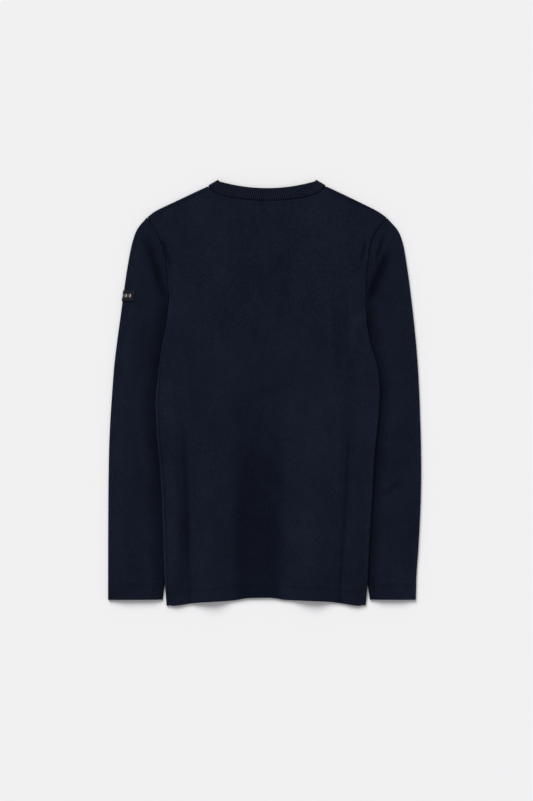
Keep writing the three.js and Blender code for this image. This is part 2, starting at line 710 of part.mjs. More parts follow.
// The neck band: a ring of ribbed cloth folded flat at its two corners, its back half above and its
// front half on the floor. Each rib is raised on the outer face and the inner face is plain.
function neckBand() {
  const backCurve = (half, yAt) =>
    countTo(BAND_CURVE_STEPS, (k) => {
      const across = (2 * k) / BAND_CURVE_STEPS - 1;
      return { x: NECK_CENTRE + half * across, y: yAt(Math.abs(across)) };
    });
  const dip = (half, cornerY, lowY) =>
    countTo(BAND_CURVE_STEPS, (k) => {
      const angle = (k / BAND_CURVE_STEPS) * Math.PI;
      const y = cornerY - (cornerY - lowY) * Math.sin(angle);
      return { x: NECK_CENTRE + half * Math.cos(angle), y };
    });
  const seamY = (share) => Math.min(BAND_CORNER_Y, lookUp(BACK_NECK, "share", "y", share));
  const edgeY = (share) => mix(BAND_EDGE_MIDDLE_Y, BAND_EDGE_CORNER_Y, share * share);
  const backSeam = evenPoints(backCurve(BAND_SEAM_HALF, seamY), 2 * BACK_RIBS);
  const backEdge = evenPoints(backCurve(BAND_EDGE_HALF, edgeY), 2 * BACK_RIBS);
  const frontSeam = evenPoints(dip(BAND_SEAM_HALF, BAND_CORNER_Y, FRONT_SEAM_Y), 2 * FRONT_RIBS);
  const frontEdge = evenPoints(dip(BAND_EDGE_HALF, BAND_EDGE_CORNER_Y, FRONT_EDGE_Y), 2 * FRONT_RIBS);
  const half = BAND_WALL / 2;
  const frontLevel = half + RIB_RAISE;
  const radius = (BAND_LEVEL - frontLevel) / 2;
  const centre = (BAND_LEVEL + frontLevel) / 2;

  const stations = [];
  const addLayer = (seam, edge, level, up) =>
    seam.forEach((point, k) => {
      const lifted = (p) => new THREE.Vector3(p.x, p.y, level);
      stations.push({ seam: lifted(point), edge: lifted(edge[k]), out: new THREE.Vector3(0, 0, up) });
    });
  const addCorner = (seam, edge, fromTop) => {
    const run = edge.clone().sub(seam).normalize();
    const away = new THREE.Vector3(-run.y, run.x, 0);
    if (away.y < 0) away.negate();
    for (let k = 1; k < CORNER_STEPS; k += 1) {
      const angle = (90 - (180 * k) / CORNER_STEPS) * DEGREE * fromTop;
      const out = away.clone().multiplyScalar(Math.cos(angle));
      out.z = Math.sin(angle);
      const moved = (p) => new THREE.Vector3(p.x, p.y, centre).addScaledVector(out, radius);
      stations.push({ seam: moved(seam), edge: moved(edge), out });
    }
  };
  addLayer(backSeam, backEdge, BAND_LEVEL, 1);
  addCorner(frontSeam[0], frontEdge[0], 1);
  addLayer(frontSeam, frontEdge, frontLevel, -1);
  addCorner(backSeam[0], backEdge[0], -1);

  const section = (station, k) => {
    const raise = k % 2 === 0 ? RIB_RAISE : 0;
    const at = (share, height) =>
      station.seam.clone().lerp(station.edge, share).addScaledVector(station.out, height);
    return [
      at(0, half - RIB_BEVEL),
      at(RIB_START_SHARE, half + raise),
      at(RIB_END_SHARE, half + raise),
      at(1, half - RIB_BEVEL),
      at(1, -half),
      at(0, -half),
    ];
  };
  const rings = stations.map(section);
  const size = rings[0].length;
  const faces = [];
  rings.forEach((_, k) => {
    const next = (k + 1) % rings.length;
    for (let i = 0; i < size; i += 1) {
      const a = k * size + i;
      const b = k * size + ((i + 1) % size);
      const c = next * size + ((i + 1) % size);
      const d = next * size + i;
      faces.push(a, b, c, a, c, d);
    }
  });
  return closedGeometry(rings.flat(), faces);
}

// The label: a thin strip over the outer fold of the left sleeve, made from the sleeve's own surface.
function armLabel() {
  const side = SIDES.left;
  const surface = (column, y) => {
    const edgeX = lookUp(side.outer, "y", "x", y);
    if (column < LABEL_FOLD_ANGLES.length) {
      const angle = LABEL_FOLD_ANGLES[column] * DEGREE;
      const high = sleeveTop(side, edgeX + FOLD_INSET, y);
      const out = new THREE.Vector3(-Math.cos(angle), 0, Math.sin(angle));
      const x = edgeX + FOLD_INSET - FOLD_INSET * Math.cos(angle);
      return { point: new THREE.Vector3(x, y, high / 2 + (high / 2) * Math.sin(angle)), out };
    }
    const share = (column - LABEL_FOLD_ANGLES.length) / (LABEL_COLUMNS - LABEL_FOLD_ANGLES.length);
    const x = edgeX + mix(FOLD_INSET, LABEL_REACH, share);
    const slope = (sleeveTop(side, x + 1, y) - sleeveTop(side, x - 1, y)) / 2;
    const out = new THREE.Vector3(-slope, 0, 1).normalize();
    return { point: new THREE.Vector3(x, y, sleeveTop(side, x, y)), out };
  };
  const grid = (height) =>
    countTo(LABEL_ROWS, (row) =>
      countTo(LABEL_COLUMNS, (column) => {
        const { point, out } = surface(column, mix(LABEL_LOW_Y, LABEL_HIGH_Y, row / LABEL_ROWS));
        return point.addScaledVector(out, height);
      }),
    );
  return clothSolid(grid(LABEL_GAP + LABEL_WALL), grid(LABEL_GAP), false);
}

function cloth(name, geometry, color, roughness) {
  const material = new THREE.MeshStandardMaterial({ color, roughness, metalness: 0 });
  const mesh = new THREE.Mesh(geometry, material);
  mesh.name = name;
  return mesh;
}

const pullover = new THREE.Group();
pullover.add(cloth("front_body", bodyPanel(FRONT_PANEL), NAVY, WOOL_ROUGHNESS));
pullover.add(cloth("back_body", bodyPanel(BACK_PANEL), NAVY, WOOL_ROUGHNESS));
pullover.add(cloth("sleeve_left", sleeve(SIDES.left), NAVY, WOOL_ROUGHNESS));
pullover.add(cloth("sleeve_right", sleeve(SIDES.right), NAVY, WOOL_ROUGHNESS));
pullover.add(cloth("neck_band", neckBand(), NAVY, RIB_ROUGHNESS));
pullover.add(cloth("arm_label", armLabel(), CHARCOAL, LABEL_ROUGHNESS));

export default pullover;
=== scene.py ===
import math

import bmesh
import bpy
import numpy as np
from mathutils import Matrix, Vector, noise


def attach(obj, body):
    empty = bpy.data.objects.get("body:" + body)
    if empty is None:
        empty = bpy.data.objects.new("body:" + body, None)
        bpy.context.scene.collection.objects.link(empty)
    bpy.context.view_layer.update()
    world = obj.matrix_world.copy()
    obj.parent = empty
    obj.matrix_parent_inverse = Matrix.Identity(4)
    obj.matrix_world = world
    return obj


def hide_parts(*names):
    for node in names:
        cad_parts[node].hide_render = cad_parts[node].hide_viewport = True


# %% [markdown]
# # A wool pullover laid flat
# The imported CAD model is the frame. It gives the place and the size of six cloth pieces: two body
# panels, two sleeves, a ribbed neck band and a label. Here each of them is made again as finer cloth,
# with its folds, seams, stitches and knitting. The hem lies towards -Y, the neck towards +Y, and the
# garment's back faces up. Objects are in metres. Tables and rules are in millimetres, as a maker would
# write them, and MM turns one into the other.

# %% Load the frame
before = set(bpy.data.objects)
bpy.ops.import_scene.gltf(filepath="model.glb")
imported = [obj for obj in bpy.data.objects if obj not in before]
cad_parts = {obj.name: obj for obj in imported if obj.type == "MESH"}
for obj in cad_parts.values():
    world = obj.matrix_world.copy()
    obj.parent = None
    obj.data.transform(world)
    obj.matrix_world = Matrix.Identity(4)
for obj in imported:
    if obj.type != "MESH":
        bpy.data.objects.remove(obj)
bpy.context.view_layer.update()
MM = 0.001
print("CAD nodes:", ", ".join(sorted(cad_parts)))

# %% [markdown]
# ## Camera
# The garment was photographed straight from above. A camera close by would show its middle larger than
# its edges, so a long lens is put far away, as in a studio. The view is given by how much of the surface
# it takes in along the picture's long side, and by the place on the surface under its middle.

# %% Camera
VIEW_LENGTH = 1.322
VIEW_CENTRE = (0.0031, -0.0118)
CAMERA_HEIGHT = 3.2
CLOTH_LEVEL = 0.006
SENSOR = 36

camera_data = bpy.data.cameras.new("overhead_camera")
camera_data.sensor_width = SENSOR
camera_data.lens = SENSOR * CAMERA_HEIGHT / VIEW_LENGTH
camera = bpy.data.objects.new("overhead_camera", camera_data)
camera.location = (*VIEW_CENTRE, CAMERA_HEIGHT + CLOTH_LEVEL)
bpy.context.collection.objects.link(camera)
bpy.context.scene.camera = camera
print("lens in mm:", round(camera_data.lens, 1))

# %% [markdown]
# ## Light
# A bright, even studio: the sky lights the cloth from all sides, and one broad lamp stands towards the
# neck and a little to the left, so that each fold has a soft light side and a soft dark side. Area
# lamps could do it too, but they fall off over the wide floor. A sun with a wide angle doesn't.

# %% Light
SKY_STRENGTH = 0.46
LAMP_STRENGTH = 2.75
LAMP_FROM = Vector((-0.45, 1.0, 0.9))
LAMP_WIDTH = math.radians(36)
SKY_COLOUR, LAMP_COLOUR = (0.97, 0.98, 1.0, 1), (1.0, 0.99, 0.98)

world = bpy.data.worlds.new("studio_sky")
world.use_nodes = True
sky = world.node_tree.nodes["Background"]
sky.inputs["Color"].default_value = SKY_COLOUR
sky.inputs["Strength"].default_value = SKY_STRENGTH
bpy.context.scene.world = world

lamp_data = bpy.data.lights.new("broad_lamp", "SUN")
lamp_data.energy = LAMP_STRENGTH
lamp_data.angle = LAMP_WIDTH
lamp_data.color = LAMP_COLOUR
lamp = bpy.data.objects.new("broad_lamp", lamp_data)
lamp.rotation_mode = "QUATERNION"
lamp.rotation_quaternion = (-LAMP_FROM).to_track_quat("-Z", "Y")
bpy.context.collection.objects.link(lamp)
bpy.context.scene.view_settings.view_transform = "Standard"
print("lamp height above the horizon:", round(math.degrees(math.asin(LAMP_FROM.normalized().z))))

# %% [markdown]
# ## The pattern of the garment
# The outlines below are measured on the laid garment in millimetres, the same as in the CAD source.
# They could be many points close together, but then no line could be corrected by hand. So each table
# gives only the rows that its line needs, and a smooth curve runs through them.

# %% Body outline
BODY_LEFT = [  # y, x
    (-350, -162.3), (-328, -164), (-255, -166.8), (-194, -168.6), (-133, -171.9), (-75, -177),
    (-11, -180), (21, -177), (69, -170.6), (115, -161.9), (152, -158.1), (187, -160.2),
    (212, -162.7), (233, -166), (253, -172.6), (273, -182.5), (291.4, -193.8),
]
BODY_RIGHT = [  # y, x
    (-350, 167), (-313, 169.8), (-234, 173.9), (-153, 178.9), (-97, 182.2), (-57, 186.6),
    (-11, 189.9), (31, 189.1), (57, 181.5), (82, 175.2), (114, 169), (141, 167.3),
    (179, 168.6), (204, 169.4), (223, 172), (248, 175.6), (266, 183.8), (290, 202),
]
SHOULDER_LEFT = [  # x, y
    (-193.8, 291.4), (-182.8, 299.6), (-170.8, 306), (-143.6, 318.8), (-113.2, 333.2),
    (-100, 339.4), (-92.5, 343.2),
]
SHOULDER_RIGHT = [  # x, y
    (100.5, 343.2), (108, 339.4), (123.8, 331.8), (150.8, 318.8), (177.7, 305.6),
    (189.4, 299.2), (202, 290),
]
BACK_NECK = [  # share of the way from the middle to the corner, y
    (0, 318.2), (0.25, 319), (0.57, 322.4), (0.74, 326), (0.88, 331), (1, 341.5),
]
HEM = [  # x, y
    (-162.3, -350), (-150, -351), (-113, -345.9), (-93, -344.1), (-50, -341.9), (-31, -338.6),
    (-8, -337.8), (17, -338), (30, -340.8), (75, -342.3), (105, -344.1), (137, -348.4),
    (154, -351), (167, -350),
]
print("body outline rows:", len(BODY_LEFT) + len(BODY_RIGHT) + len(HEM))

# %% Sleeve outlines
SLEEVE_LEFT_OUTER = [  # y, x
    (-341, -258.8), (-176, -258.3), (-77, -256.6), (-11, -252.8), (55, -247.6), (121, -238.9),
    (187, -230), (220, -224.7), (246, -219.4), (266, -213), (279.4, -205.1), (291.4, -193.8),
]
SLEEVE_LEFT_INNER = [  # y, x
    (-341, -168.5), (-308, -164.3), (-250, -154.4), (-160, -142.9), (-77, -136), (-11, -135),
    (30, -139.5), (70, -147.5), (100, -154.5), (128, -158.6), (152, -156.8),
]
SLEEVE_RIGHT_OUTER = [  # y, x
    (-341, 249.8), (-308, 250.5), (-242, 254.8), (-176, 257.8), (-110, 258.5), (-11, 255.9),
    (55, 252.3), (121, 246.3), (187, 238.4), (220, 233.5), (246, 228.9), (266, 221.8),
    (279.4, 213), (290, 202),
]
SLEEVE_RIGHT_INNER = [  # y, x
    (-341, 173.9), (-308, 169), (-250, 159), (-160, 147.5), (-77, 141), (-11, 141),
    (25, 145.5), (60, 154.5), (92, 163.2), (118, 167.8), (141, 166),
]
print("sleeve outline rows:", len(SLEEVE_LEFT_OUTER) + len(SLEEVE_RIGHT_OUTER))

# %% [markdown]
# ## Folds
# Cloth that is laid down keeps long soft ridges and troughs. A cloth simulation would put them where it
# likes, but here their places are known, so each row below is one of them: where it starts and ends, its
# half width, how far it rises (or sinks, below 0), and how long it takes to fade in and out. The wide
# ones are the same as in the CAD source, and the narrow ones are creases that only the cloth shows.

# %% Fold tables
BACK_FOLDS = [  # x0, y0, x1, y1, half width, rise, fade in, fade out
    (-95, 20, -88, -356, 40, 8.4, 300, 0),
    (84, 20, 77, -356, 43, 8.2, 300, 0),
    (-150, -20, -146, -356, 17, 1.4, 120, 0),
    (153, -10, 146, -356, 18, 1.4, 120, 0),
    (-129.7, 0, -124, -356, 8, -1.6, 80, 0),
    (136, 10, 123, -356, 8, -1.6, 80, 0),
    (-172, 266, -151, 196, 9, -1.1, 20, 25),
    (168, 256, 156, 204, 9, -1.1, 20, 25),
]
SLEEVE_LEFT_FOLDS = [
    (-197, 260, -165, 170, 9, -2.4, 15, 25),
    (-186, 150, -199, 40, 16, -0.9, 40, 50),
]
SLEEVE_RIGHT_FOLDS = [
    (197, 260, 183, 216, 6, -2.0, 10, 16),
    (208, 240, 172, 152, 10, -2.2, 15, 20),
    (232, -144, 192, -174, 8, -1.2, 12, 14),
]
print("folds:", len(BACK_FOLDS) + len(SLEEVE_LEFT_FOLDS) + len(SLEEVE_RIGHT_FOLDS))

# %% Curves through tables


def look_up(rows, at):
    """Values of a two-column table at places between its rows, on a smooth curve through them."""
    keys, values = np.array(rows, dtype=float).T
    steps = np.diff(values) / np.diff(keys)
    across = (values[2:] - values[:-2]) / (keys[2:] - keys[:-2])
    slopes = np.concatenate([steps[:1], across, steps[-1:]])
    at = np.clip(at, keys[0], keys[-1])
    k = np.clip(np.searchsorted(keys, at, side="right") - 1, 0, len(keys) - 2)
    span = keys[k + 1] - keys[k]
    t = (at - keys[k]) / span
    rest = 1 - t
    start = values[k] * (1 + 2 * t) * rest**2 + slopes[k] * span * t * rest**2
    end = values[k + 1] * (3 - 2 * t) * t**2 - slopes[k + 1] * span * t**2 * rest
    return start + end


def smooth(share):
    """An S-shaped step from 0 to 1."""
    share = np.clip(share, 0, 1)
    return share * share * (3 - 2 * share)


def mix(a, b, share):
    """The value at a share of the way from a to b."""
    return a + (b - a) * share


def fold_rise(folds, x, y, flatness=1):
    """Sum of the soft ridges and troughs of a table. A flatness of 2 gives them a flat middle half."""
    total = np.zeros(np.broadcast(x, y).shape)
    for x0, y0, x1, y1, half_width, rise, fade_in, fade_out in folds:
        length = math.hypot(x1 - x0, y1 - y0)
        along_x, along_y = (x1 - x0) / length, (y1 - y0) / length
        reach = (x - x0) * along_x + (y - y0) * along_y
        aside = np.abs((x - x0) * along_y - (y - y0) * along_x) / half_width
        aside = np.clip(1 + (aside - 1) * flatness, 0, 1)
        fade = smooth(reach / fade_in)
        if fade_out:
            fade = fade * smooth((length - reach) / fade_out)
        total += rise * fade * (0.5 + 0.5 * np.cos(np.pi * aside))
    return total


print("underarm x at y 152:", round(float(look_up(BODY_LEFT, 152)), 1))

# %% [markdown]
# ## How high the cloth lies
# The front panel lies on the floor, and climbs over each sleeve where it is tucked under the side. The
# back panel lies on it, with a little air between, and stands up where the long folds are. A sleeve is
# a flattened tube that is a little crowned. Each piece could be sculpted by itself, but then its
# neighbours would cut through it. These few height rules shape all the pieces, so that they meet without
# touching.

# %% Sides of the garment


class Side:
    """One side of the garment: its sign along X, its outlines and its folds."""

    def __init__(self, sign, body, underarm, outer, inner, folds):
        self.sign, self.body, self.underarm = sign, body, underarm
        self.outer, self.inner, self.folds = outer, inner, folds
        self.tip_y = body[-1][0]


LEFT = Side(-1, BODY_LEFT, 152, SLEEVE_LEFT_OUTER, SLEEVE_LEFT_INNER, SLEEVE_LEFT_FOLDS)
RIGHT = Side(1, BODY_RIGHT, 141, SLEEVE_RIGHT_OUTER, SLEEVE_RIGHT_INNER, SLEEVE_RIGHT_FOLDS)
print("underarms at y", LEFT.underarm, "and", RIGHT.underarm)

# %% Heights of the body
WALL = 1.8
FOLD_INSET = 3
CHEST_AIR, LOWER_AIR, EDGE_AIR, LEAST_AIR = 2.5, 1.2, 1.2, 0.9
CHEST_START, CHEST_RAMP, EDGE_TOP, EDGE_TOP_RAMP, EDGE_WIDTH, EDGE_RAMP = -60, 260, 10, 60, 4, 40
TUCK_LIFT, TUCK_SHELF, TUCK_RAMP = 5.1, 8, 26
LIFT_SLANT, LIFT_END, LIFT_END_RAMP, LIFT_START, LIFT_START_RAMP = 0.8, 1, 18, -352, 46


def outside_body(side, x, y):
    """How far a place lies outside the body's outline, below 0 inside it."""
    return side.sign * (x - look_up(side.body, y))


def lift(x, y):
    """How high the front panel rides on the sleeve tucked under it."""
    most = 0
    for side in (LEFT, RIGHT):
        inside = side.sign * (look_up(side.inner, y) - x)
        slope = smooth(1 - (inside - TUCK_SHELF) / TUCK_RAMP)
        slanted = LIFT_SLANT * np.maximum(0, inside)
        end = smooth((side.underarm - LIFT_END - slanted - y) / LIFT_END_RAMP)
        start = smooth((y - LIFT_START) / LIFT_START_RAMP)
        most = np.maximum(most, TUCK_LIFT * slope * (end * start))
    return most


def air(x, y):
    """Air between the front and the back panel."""
    middle = mix(LOWER_AIR, CHEST_AIR, smooth((y - CHEST_START) / CHEST_RAMP))
    edge = 1
    for side in (LEFT, RIGHT):
        below = smooth((side.underarm + EDGE_TOP - y) / EDGE_TOP_RAMP)
        near = 1 - smooth((-outside_body(side, x, y) - EDGE_WIDTH) / EDGE_RAMP)
        edge = np.minimum(edge, 1 - near * below)
    return np.maximum(LEAST_AIR, mix(EDGE_AIR, middle, edge) + fold_rise(BACK_FOLDS, x, y))


print("height of the back at the left ridge:", round(float(2 * WALL + air(-90.0, -340.0)), 1), "mm")

# %% Height of a sleeve
TUCKED_HEIGHT = 4.3
SLEEVE_CROWN, CUFF_CROWN, SLEEVE_FOLD_HEIGHT, CROWN_RISE = 9.2, 8.6, 5.6, 24
SEAM_STEP_DROP, SEAM_STEP_RAMP, CUFF_Y, CUFF_RAMP = 18, 16, -341, 160
HEAD_SINK, HEAD_SINK_Y, HEAD_SINK_RAMP, FOLDS_START, FOLDS_RAMP = 0.45, 200, 90, 2, 8


def across_sleeve(side, x, y):
    """Distances from the body's side and from the outer fold, and the share of the way across."""
    from_body = outside_body(side, x, y)
    from_fold = side.sign * (look_up(side.outer, y) - x)
    share = np.clip(from_body / np.maximum(1, from_body + from_fold), 0, 1)
    return from_body, from_fold, share


def sleeve_top(side, x, y):
    """Highest level of a laid sleeve."""
    seam_step = smooth((y - side.underarm + SEAM_STEP_DROP) / SEAM_STEP_RAMP)
    seam_level = mix(TUCKED_HEIGHT, 2 * WALL + CHEST_AIR, seam_step)
    from_body, from_fold, share = across_sleeve(side, x, y)
    base = mix(seam_level, SLEEVE_FOLD_HEIGHT, smooth(share))
    crown = mix(CUFF_CROWN, SLEEVE_CROWN, smooth((y - CUFF_Y) / CUFF_RAMP))
    head = 1 - HEAD_SINK * smooth((y - HEAD_SINK_Y) / HEAD_SINK_RAMP)
    rise = smooth((from_body - FOLD_INSET) / CROWN_RISE) * smooth((from_fold - FOLD_INSET) / CROWN_RISE)
    folded = fold_rise(side.folds, x, y) * smooth((from_body - FOLDS_START) / FOLDS_RAMP)
    return np.maximum(TUCKED_HEIGHT, base + (crown - base) * rise * head + folded)


print("height of the left sleeve's middle:", round(float(sleeve_top(LEFT, -215.0, 0.0)), 1), "mm")

# %% [markdown]
# ## Painted shade
# Where the cloth sinks between two folds, or lies close beside a higher piece, less light reaches it and
# it looks darker. The folds' own shadows are too faint to show this, so the shade is painted into the
# colour.
# Each sheet keeps it as a number at each of its points, and the wool material reads it: 0 on open cloth,
# 1 or more in a deep hollow, and below 0 round a fold, where a painted highlight makes the cloth
# lighter.

# %% Painted shade tables
# Painted shade on the back panel, in its troughs and creases; the depth column is how much painted
# shade.
BACK_PAINTED_SHADE = [  # x0, y0, x1, y1, half width, depth, fade in, fade out
    (-12, 110, -11, -356, 52, 1.0, 330, 0),
    (-6, 330, -12, 20, 70, 0.22, 60, 120),
    (160, -30, 150, -356, 20, 0.3, 90, 0),
    (-143, 60, -126, -356, 14, 0.4, 160, 120),
    (-135, -40, -124, -356, 5, 0.5, 60, 0),
    (144, 60, 121, -356, 15, 0.3, 160, 0),
    (140, -40, 123, -356, 4, 0.7, 60, 0),
    (118, 190, 136, -20, 20, 0.4, 60, 80),
    (-172, 264, -150, 192, 5, 0.8, 24, 34),
    (169, 258, 155, 202, 4, 0.9, 22, 28),
]
# Painted shade in the troughs of each sleeve, in the same columns.
LEFT_SLEEVE_PAINTED_SHADE = [
    (-200, 270, -160, 144, 14, 1.08, 40, 30),
    (-190, 150, -204, 20, 18, 0.3, 50, 60),
]
RIGHT_SLEEVE_PAINTED_SHADE = [
    (199, 268, 181, 208, 5, 1.3, 20, 24),
    (211, 248, 168, 146, 15, 1.5, 40, 20),
    (232, -140, 190, -172, 9, 0.5, 12, 16),
]
# Painted shadow on a sleeve beside the body that lies over it, painted shade that grows across a sleeve
# towards the body, and the most painted shade anywhere.
SHADOW_BESIDE_BODY, BESIDE_WIDTH, BESIDE_TOP, BESIDE_RAMP = 0.95, 23, 25, 45
SLEEVE_SHADE_TOWARDS_BODY, DEEPEST_PAINTED_SHADE = 0.35, 1.6
# Painted shade in the seam ditches: armholes, the seams that lie over a fold, the neck, and how wide it
# spreads.
ARMHOLE_SEAM_SHADE, FOLDED_SEAM_SHADE, NECK_SEAM_SHADE, SEAM_SHADE_WIDTH = 0.5, 1.5, 0.15, 1.5
# Painted highlight round a fold's edge, on the body and round a sleeve's outer fold; below 0 it makes
# the cloth lighter.
FOLD_HIGHLIGHT, SLEEVE_FOLD_HIGHLIGHT, SLEEVE_FOLD_WIDTH = 0.5, 0.4, 5
HEM_DEPTH, CUFF_DEPTH, ROW_SPACING = 22, 25, 4
# Painted shade along the two rows of stitches of a turned edge.
STITCH_SHADE, STITCH_SHADE_WIDTH = 0.3, 0.9


def sleeve_painted_shade(side, sleeve_shade_table, x, y):
    """Painted shade of a sleeve: in its own troughs, as painted shadow beside the body that lies over it
    and growing towards the body, less a painted highlight round its outer fold.
    """
    from_body, from_fold, share = across_sleeve(side, x, y)
    below = smooth((side.underarm + BESIDE_TOP - y) / BESIDE_RAMP)
    beside = SHADOW_BESIDE_BODY * (1 - smooth(from_body / BESIDE_WIDTH)) * below
    turned = SLEEVE_FOLD_HIGHLIGHT * (1 - smooth(from_fold / SLEEVE_FOLD_WIDTH))
    return np.clip(fold_rise(sleeve_shade_table, x, y) + beside + SLEEVE_SHADE_TOWARDS_BODY * (1 - share), 0, DEEPEST_PAINTED_SHADE) - turned


def seam_painted_shade(distance, depth):
    """Painted shade along a seam, at a distance from its line."""
    return depth * np.exp(-((distance / SEAM_SHADE_WIDTH) ** 2))


def stitch_rows(depth):
    """How far above a turned edge its two rows of stitches run."""
    return depth - ROW_SPACING / 2, depth + ROW_SPACING / 2


def stitch_painted_shade(distance, depth):
    """Painted shade along the two rows of stitches of a turned edge."""
    total = 0
    for row in stitch_rows(depth):
        total = total + STITCH_SHADE * np.exp(-(((distance - row) / STITCH_SHADE_WIDTH) ** 2))
    return total


print("hollow tables:", len(BACK_PAINTED_SHADE), len(LEFT_SLEEVE_PAINTED_SHADE), len(RIGHT_SLEEVE_PAINTED_SHADE))

# %% [markdown]
# ## Edges in plan
# A sheet with turned edges is easiest to make from four edge lines. Each line is moved inwards by the
# width of its margin, the inside is blended between the moved lines, and the margin is then bent round
# the fold or laid flat to the seam.

# %% Edge lines


def points_on(rows, ys):
    """Points on an outline table at the given y."""
    return np.column_stack([look_up(rows, ys), ys])


def inward_along(points, hand):
    """Unit vectors into the cloth along an edge, lengthened at its corners."""
    runs = np.diff(points, axis=0)
    runs /= np.linalg.norm(runs, axis=1)[:, None]
    normals = np.column_stack([-runs[:, 1], runs[:, 0]]) * hand
    before = np.vstack([normals[:1], normals])
    after = np.vstack([normals, normals[-1:]])
    return (before + after) / (1 + (before * after).sum(axis=1))[:, None]


def between(points, at, corners=()):
    """Points at fractional places of a row of points, smooth except at its corners."""
    stops = [0, *corners, len(points) - 1]
    found = np.empty((len(at), points.shape[1]))
    for start, end in zip(stops, stops[1:]):
        here = (at >= start) & (at <= end)
        index = np.arange(start, end + 1)
        for axis in range(points.shape[1]):
            rows = np.column_stack([index, points[start : end + 1, axis]])
            found[here, axis] = look_up(rows, at[here])
    return found


def fold_way(turn):
    """Way round a fold: how far out of its centre line, and the share of its height."""
    angle = np.clip(turn, -1, 1) * math.pi / 2
    past = np.maximum(0, np.abs(turn) - 1) * FOLD_INSET
    return FOLD_INSET * np.cos(angle) - past, np.sin(angle)


print("a fold reaches", FOLD_INSET, "mm out of its centre line")

# %% [markdown]
# ## Making a sheet
# Blender's grid operator makes the flat cloth. Its points are then moved to their places, the cloth is
# given a UV map in metres of cloth, which the knitting follows, and a Solidify modifier gives it its
# wall. A tube is a grid whose first and last columns are merged.

# %% Cloth helpers
CLOTH_WALL, MERGE_DISTANCE, GRID_HALF = 1.5, 0.01, 0.5
ALONG_COLUMNS, ALONG_ROWS = 0, 1


def cloth_run(points, way):
    """For a grid of points, how far each one lies along its column or its row, in mm of cloth."""
    steps = np.linalg.norm(np.diff(points, axis=way), axis=2)
    start = np.zeros_like(steps.take([0], axis=way))
    return np.concatenate([start, np.cumsum(steps, axis=way)], axis=way)


def object_from(name, bm, smooth_faces=True):
    """Turns a finished bmesh into an object that stands in the scene."""
    for face in bm.faces:
        face.smooth = smooth_faces
    mesh = bpy.data.meshes.new(name)
    bm.to_mesh(mesh)
    bm.free()
    made = bpy.data.objects.new(name, mesh)
    bpy.context.collection.objects.link(made)
    return made


print("cloth wall:", CLOTH_WALL, "mm")

# %% Grid into cloth


def grid_mesh(name, points, zero_column, faces_up=True, tube=False, painted_shade=None):
    """A mesh from the grid operator, with its points moved to the given places in mm."""
    rows, columns = points.shape[:2]
    bm = bmesh.new()
    # Each point keeps its painted shade in a float layer: above 0 the wool material darkens the colour,
    # below 0 it paints a highlight.
    depth = bm.verts.layers.float.new("painted_shade")
    made = bmesh.ops.create_grid(bm, x_segments=columns - 1, y_segments=rows - 1, size=GRID_HALF)
    across, along = cloth_run(points, ALONG_ROWS), cloth_run(points, ALONG_COLUMNS)
    across = across - across[:, zero_column : zero_column + 1]
    place = {}
    for vert in made["verts"]:
        column = round((vert.co.x + GRID_HALF) * (columns - 1))
        row = round((vert.co.y + GRID_HALF) * (rows - 1))
        place[vert] = (row, column)
    uv = bm.loops.layers.uv.new("cloth")
    for face in bm.faces:
        for loop in face.loops:
            row, column = place[loop.vert]
            loop[uv].uv = (across[row, column] * MM, along[row, column] * MM)
    for vert, (row, column) in place.items():
        vert.co = points[row, column] * MM
        vert[depth] = 0.0 if painted_shade is None else float(painted_shade[row, column])
    if not faces_up:
        bmesh.ops.reverse_faces(bm, faces=bm.faces)
    if tube:
        bmesh.ops.remove_doubles(bm, verts=bm.verts, dist=MERGE_DISTANCE * MM)
    return object_from(name, bm)


print("points closer than", MERGE_DISTANCE, "mm are merged where a tube closes")

# %% Wall and area


def give_wall(piece, thickness):
    """Gives a sheet its thickness, on the side that its faces turn away from."""
    wall = piece.modifiers.new("cloth_wall", "SOLIDIFY")
    wall.thickness = thickness * MM
    wall.offset = -1
    return piece


def cloth_area(piece):
    """Area of one face of the cloth, in square metres."""
    return sum(polygon.area for polygon in piece.data.polygons)


print("a wall of", CLOTH_WALL, "mm goes inwards from the faces")

# %% [markdown]
# ## Small relief of the cloth
# Knitted wool is never quite flat: it keeps shallow dimples a few centimetres wide. A seam pulls the
# cloth down into a narrow ditch, and the doubled cloth beside it stands up a little. A turned hem is a
# double layer with two rows of stitches sunk into it, and a rounded lower edge. A bump texture could
# suggest all this, but real relief of half a millimetre also holds at a low angle and in the meshes.

# %% Relief rules
DIMPLE_DEPTH = 0.42
DIMPLE_KINDS = [  # width, length, place in the noise, share of the depth
    (46, 60, 3.7, 0.7), (15, 21, 9.1, 0.3),
]
SEAM_DITCH, DITCH_WIDTH = 0.6, 1.1
SEAM_RIDGE, RIDGE_START, RIDGE_RAMP, ALLOWANCE, ALLOWANCE_RAMP = 0.55, 0.4, 1.4, 5, 1.6
HEM_STEP, HEM_STEP_START, STITCH_GROOVE, GROOVE_HALF = 0.45, 1.5, 0.45, 1.1
EDGE_ROUND = 1.2


def dimples(x, y):
    """Soft uneven relief, the same each time the script is run."""
    flat_x, flat_y = np.broadcast_arrays(x, y)
    out = np.zeros(flat_x.size)
    for k, (px, py) in enumerate(zip(flat_x.ravel(), flat_y.ravel())):
        for width, length, layer, share in DIMPLE_KINDS:
            out[k] += share * noise.noise(Vector((px / width, py / length, layer)))
    return DIMPLE_DEPTH * out.reshape(flat_x.shape)


def seam_relief(distance, ridge=SEAM_RIDGE):
    """Height beside a seam at a distance from its line."""
    ditch = -SEAM_DITCH * np.exp(-((distance / DITCH_WIDTH) ** 2))
    near = smooth((distance - RIDGE_START) / RIDGE_RAMP)
    return ditch + ridge * near * (1 - smooth((distance - ALLOWANCE) / ALLOWANCE_RAMP))


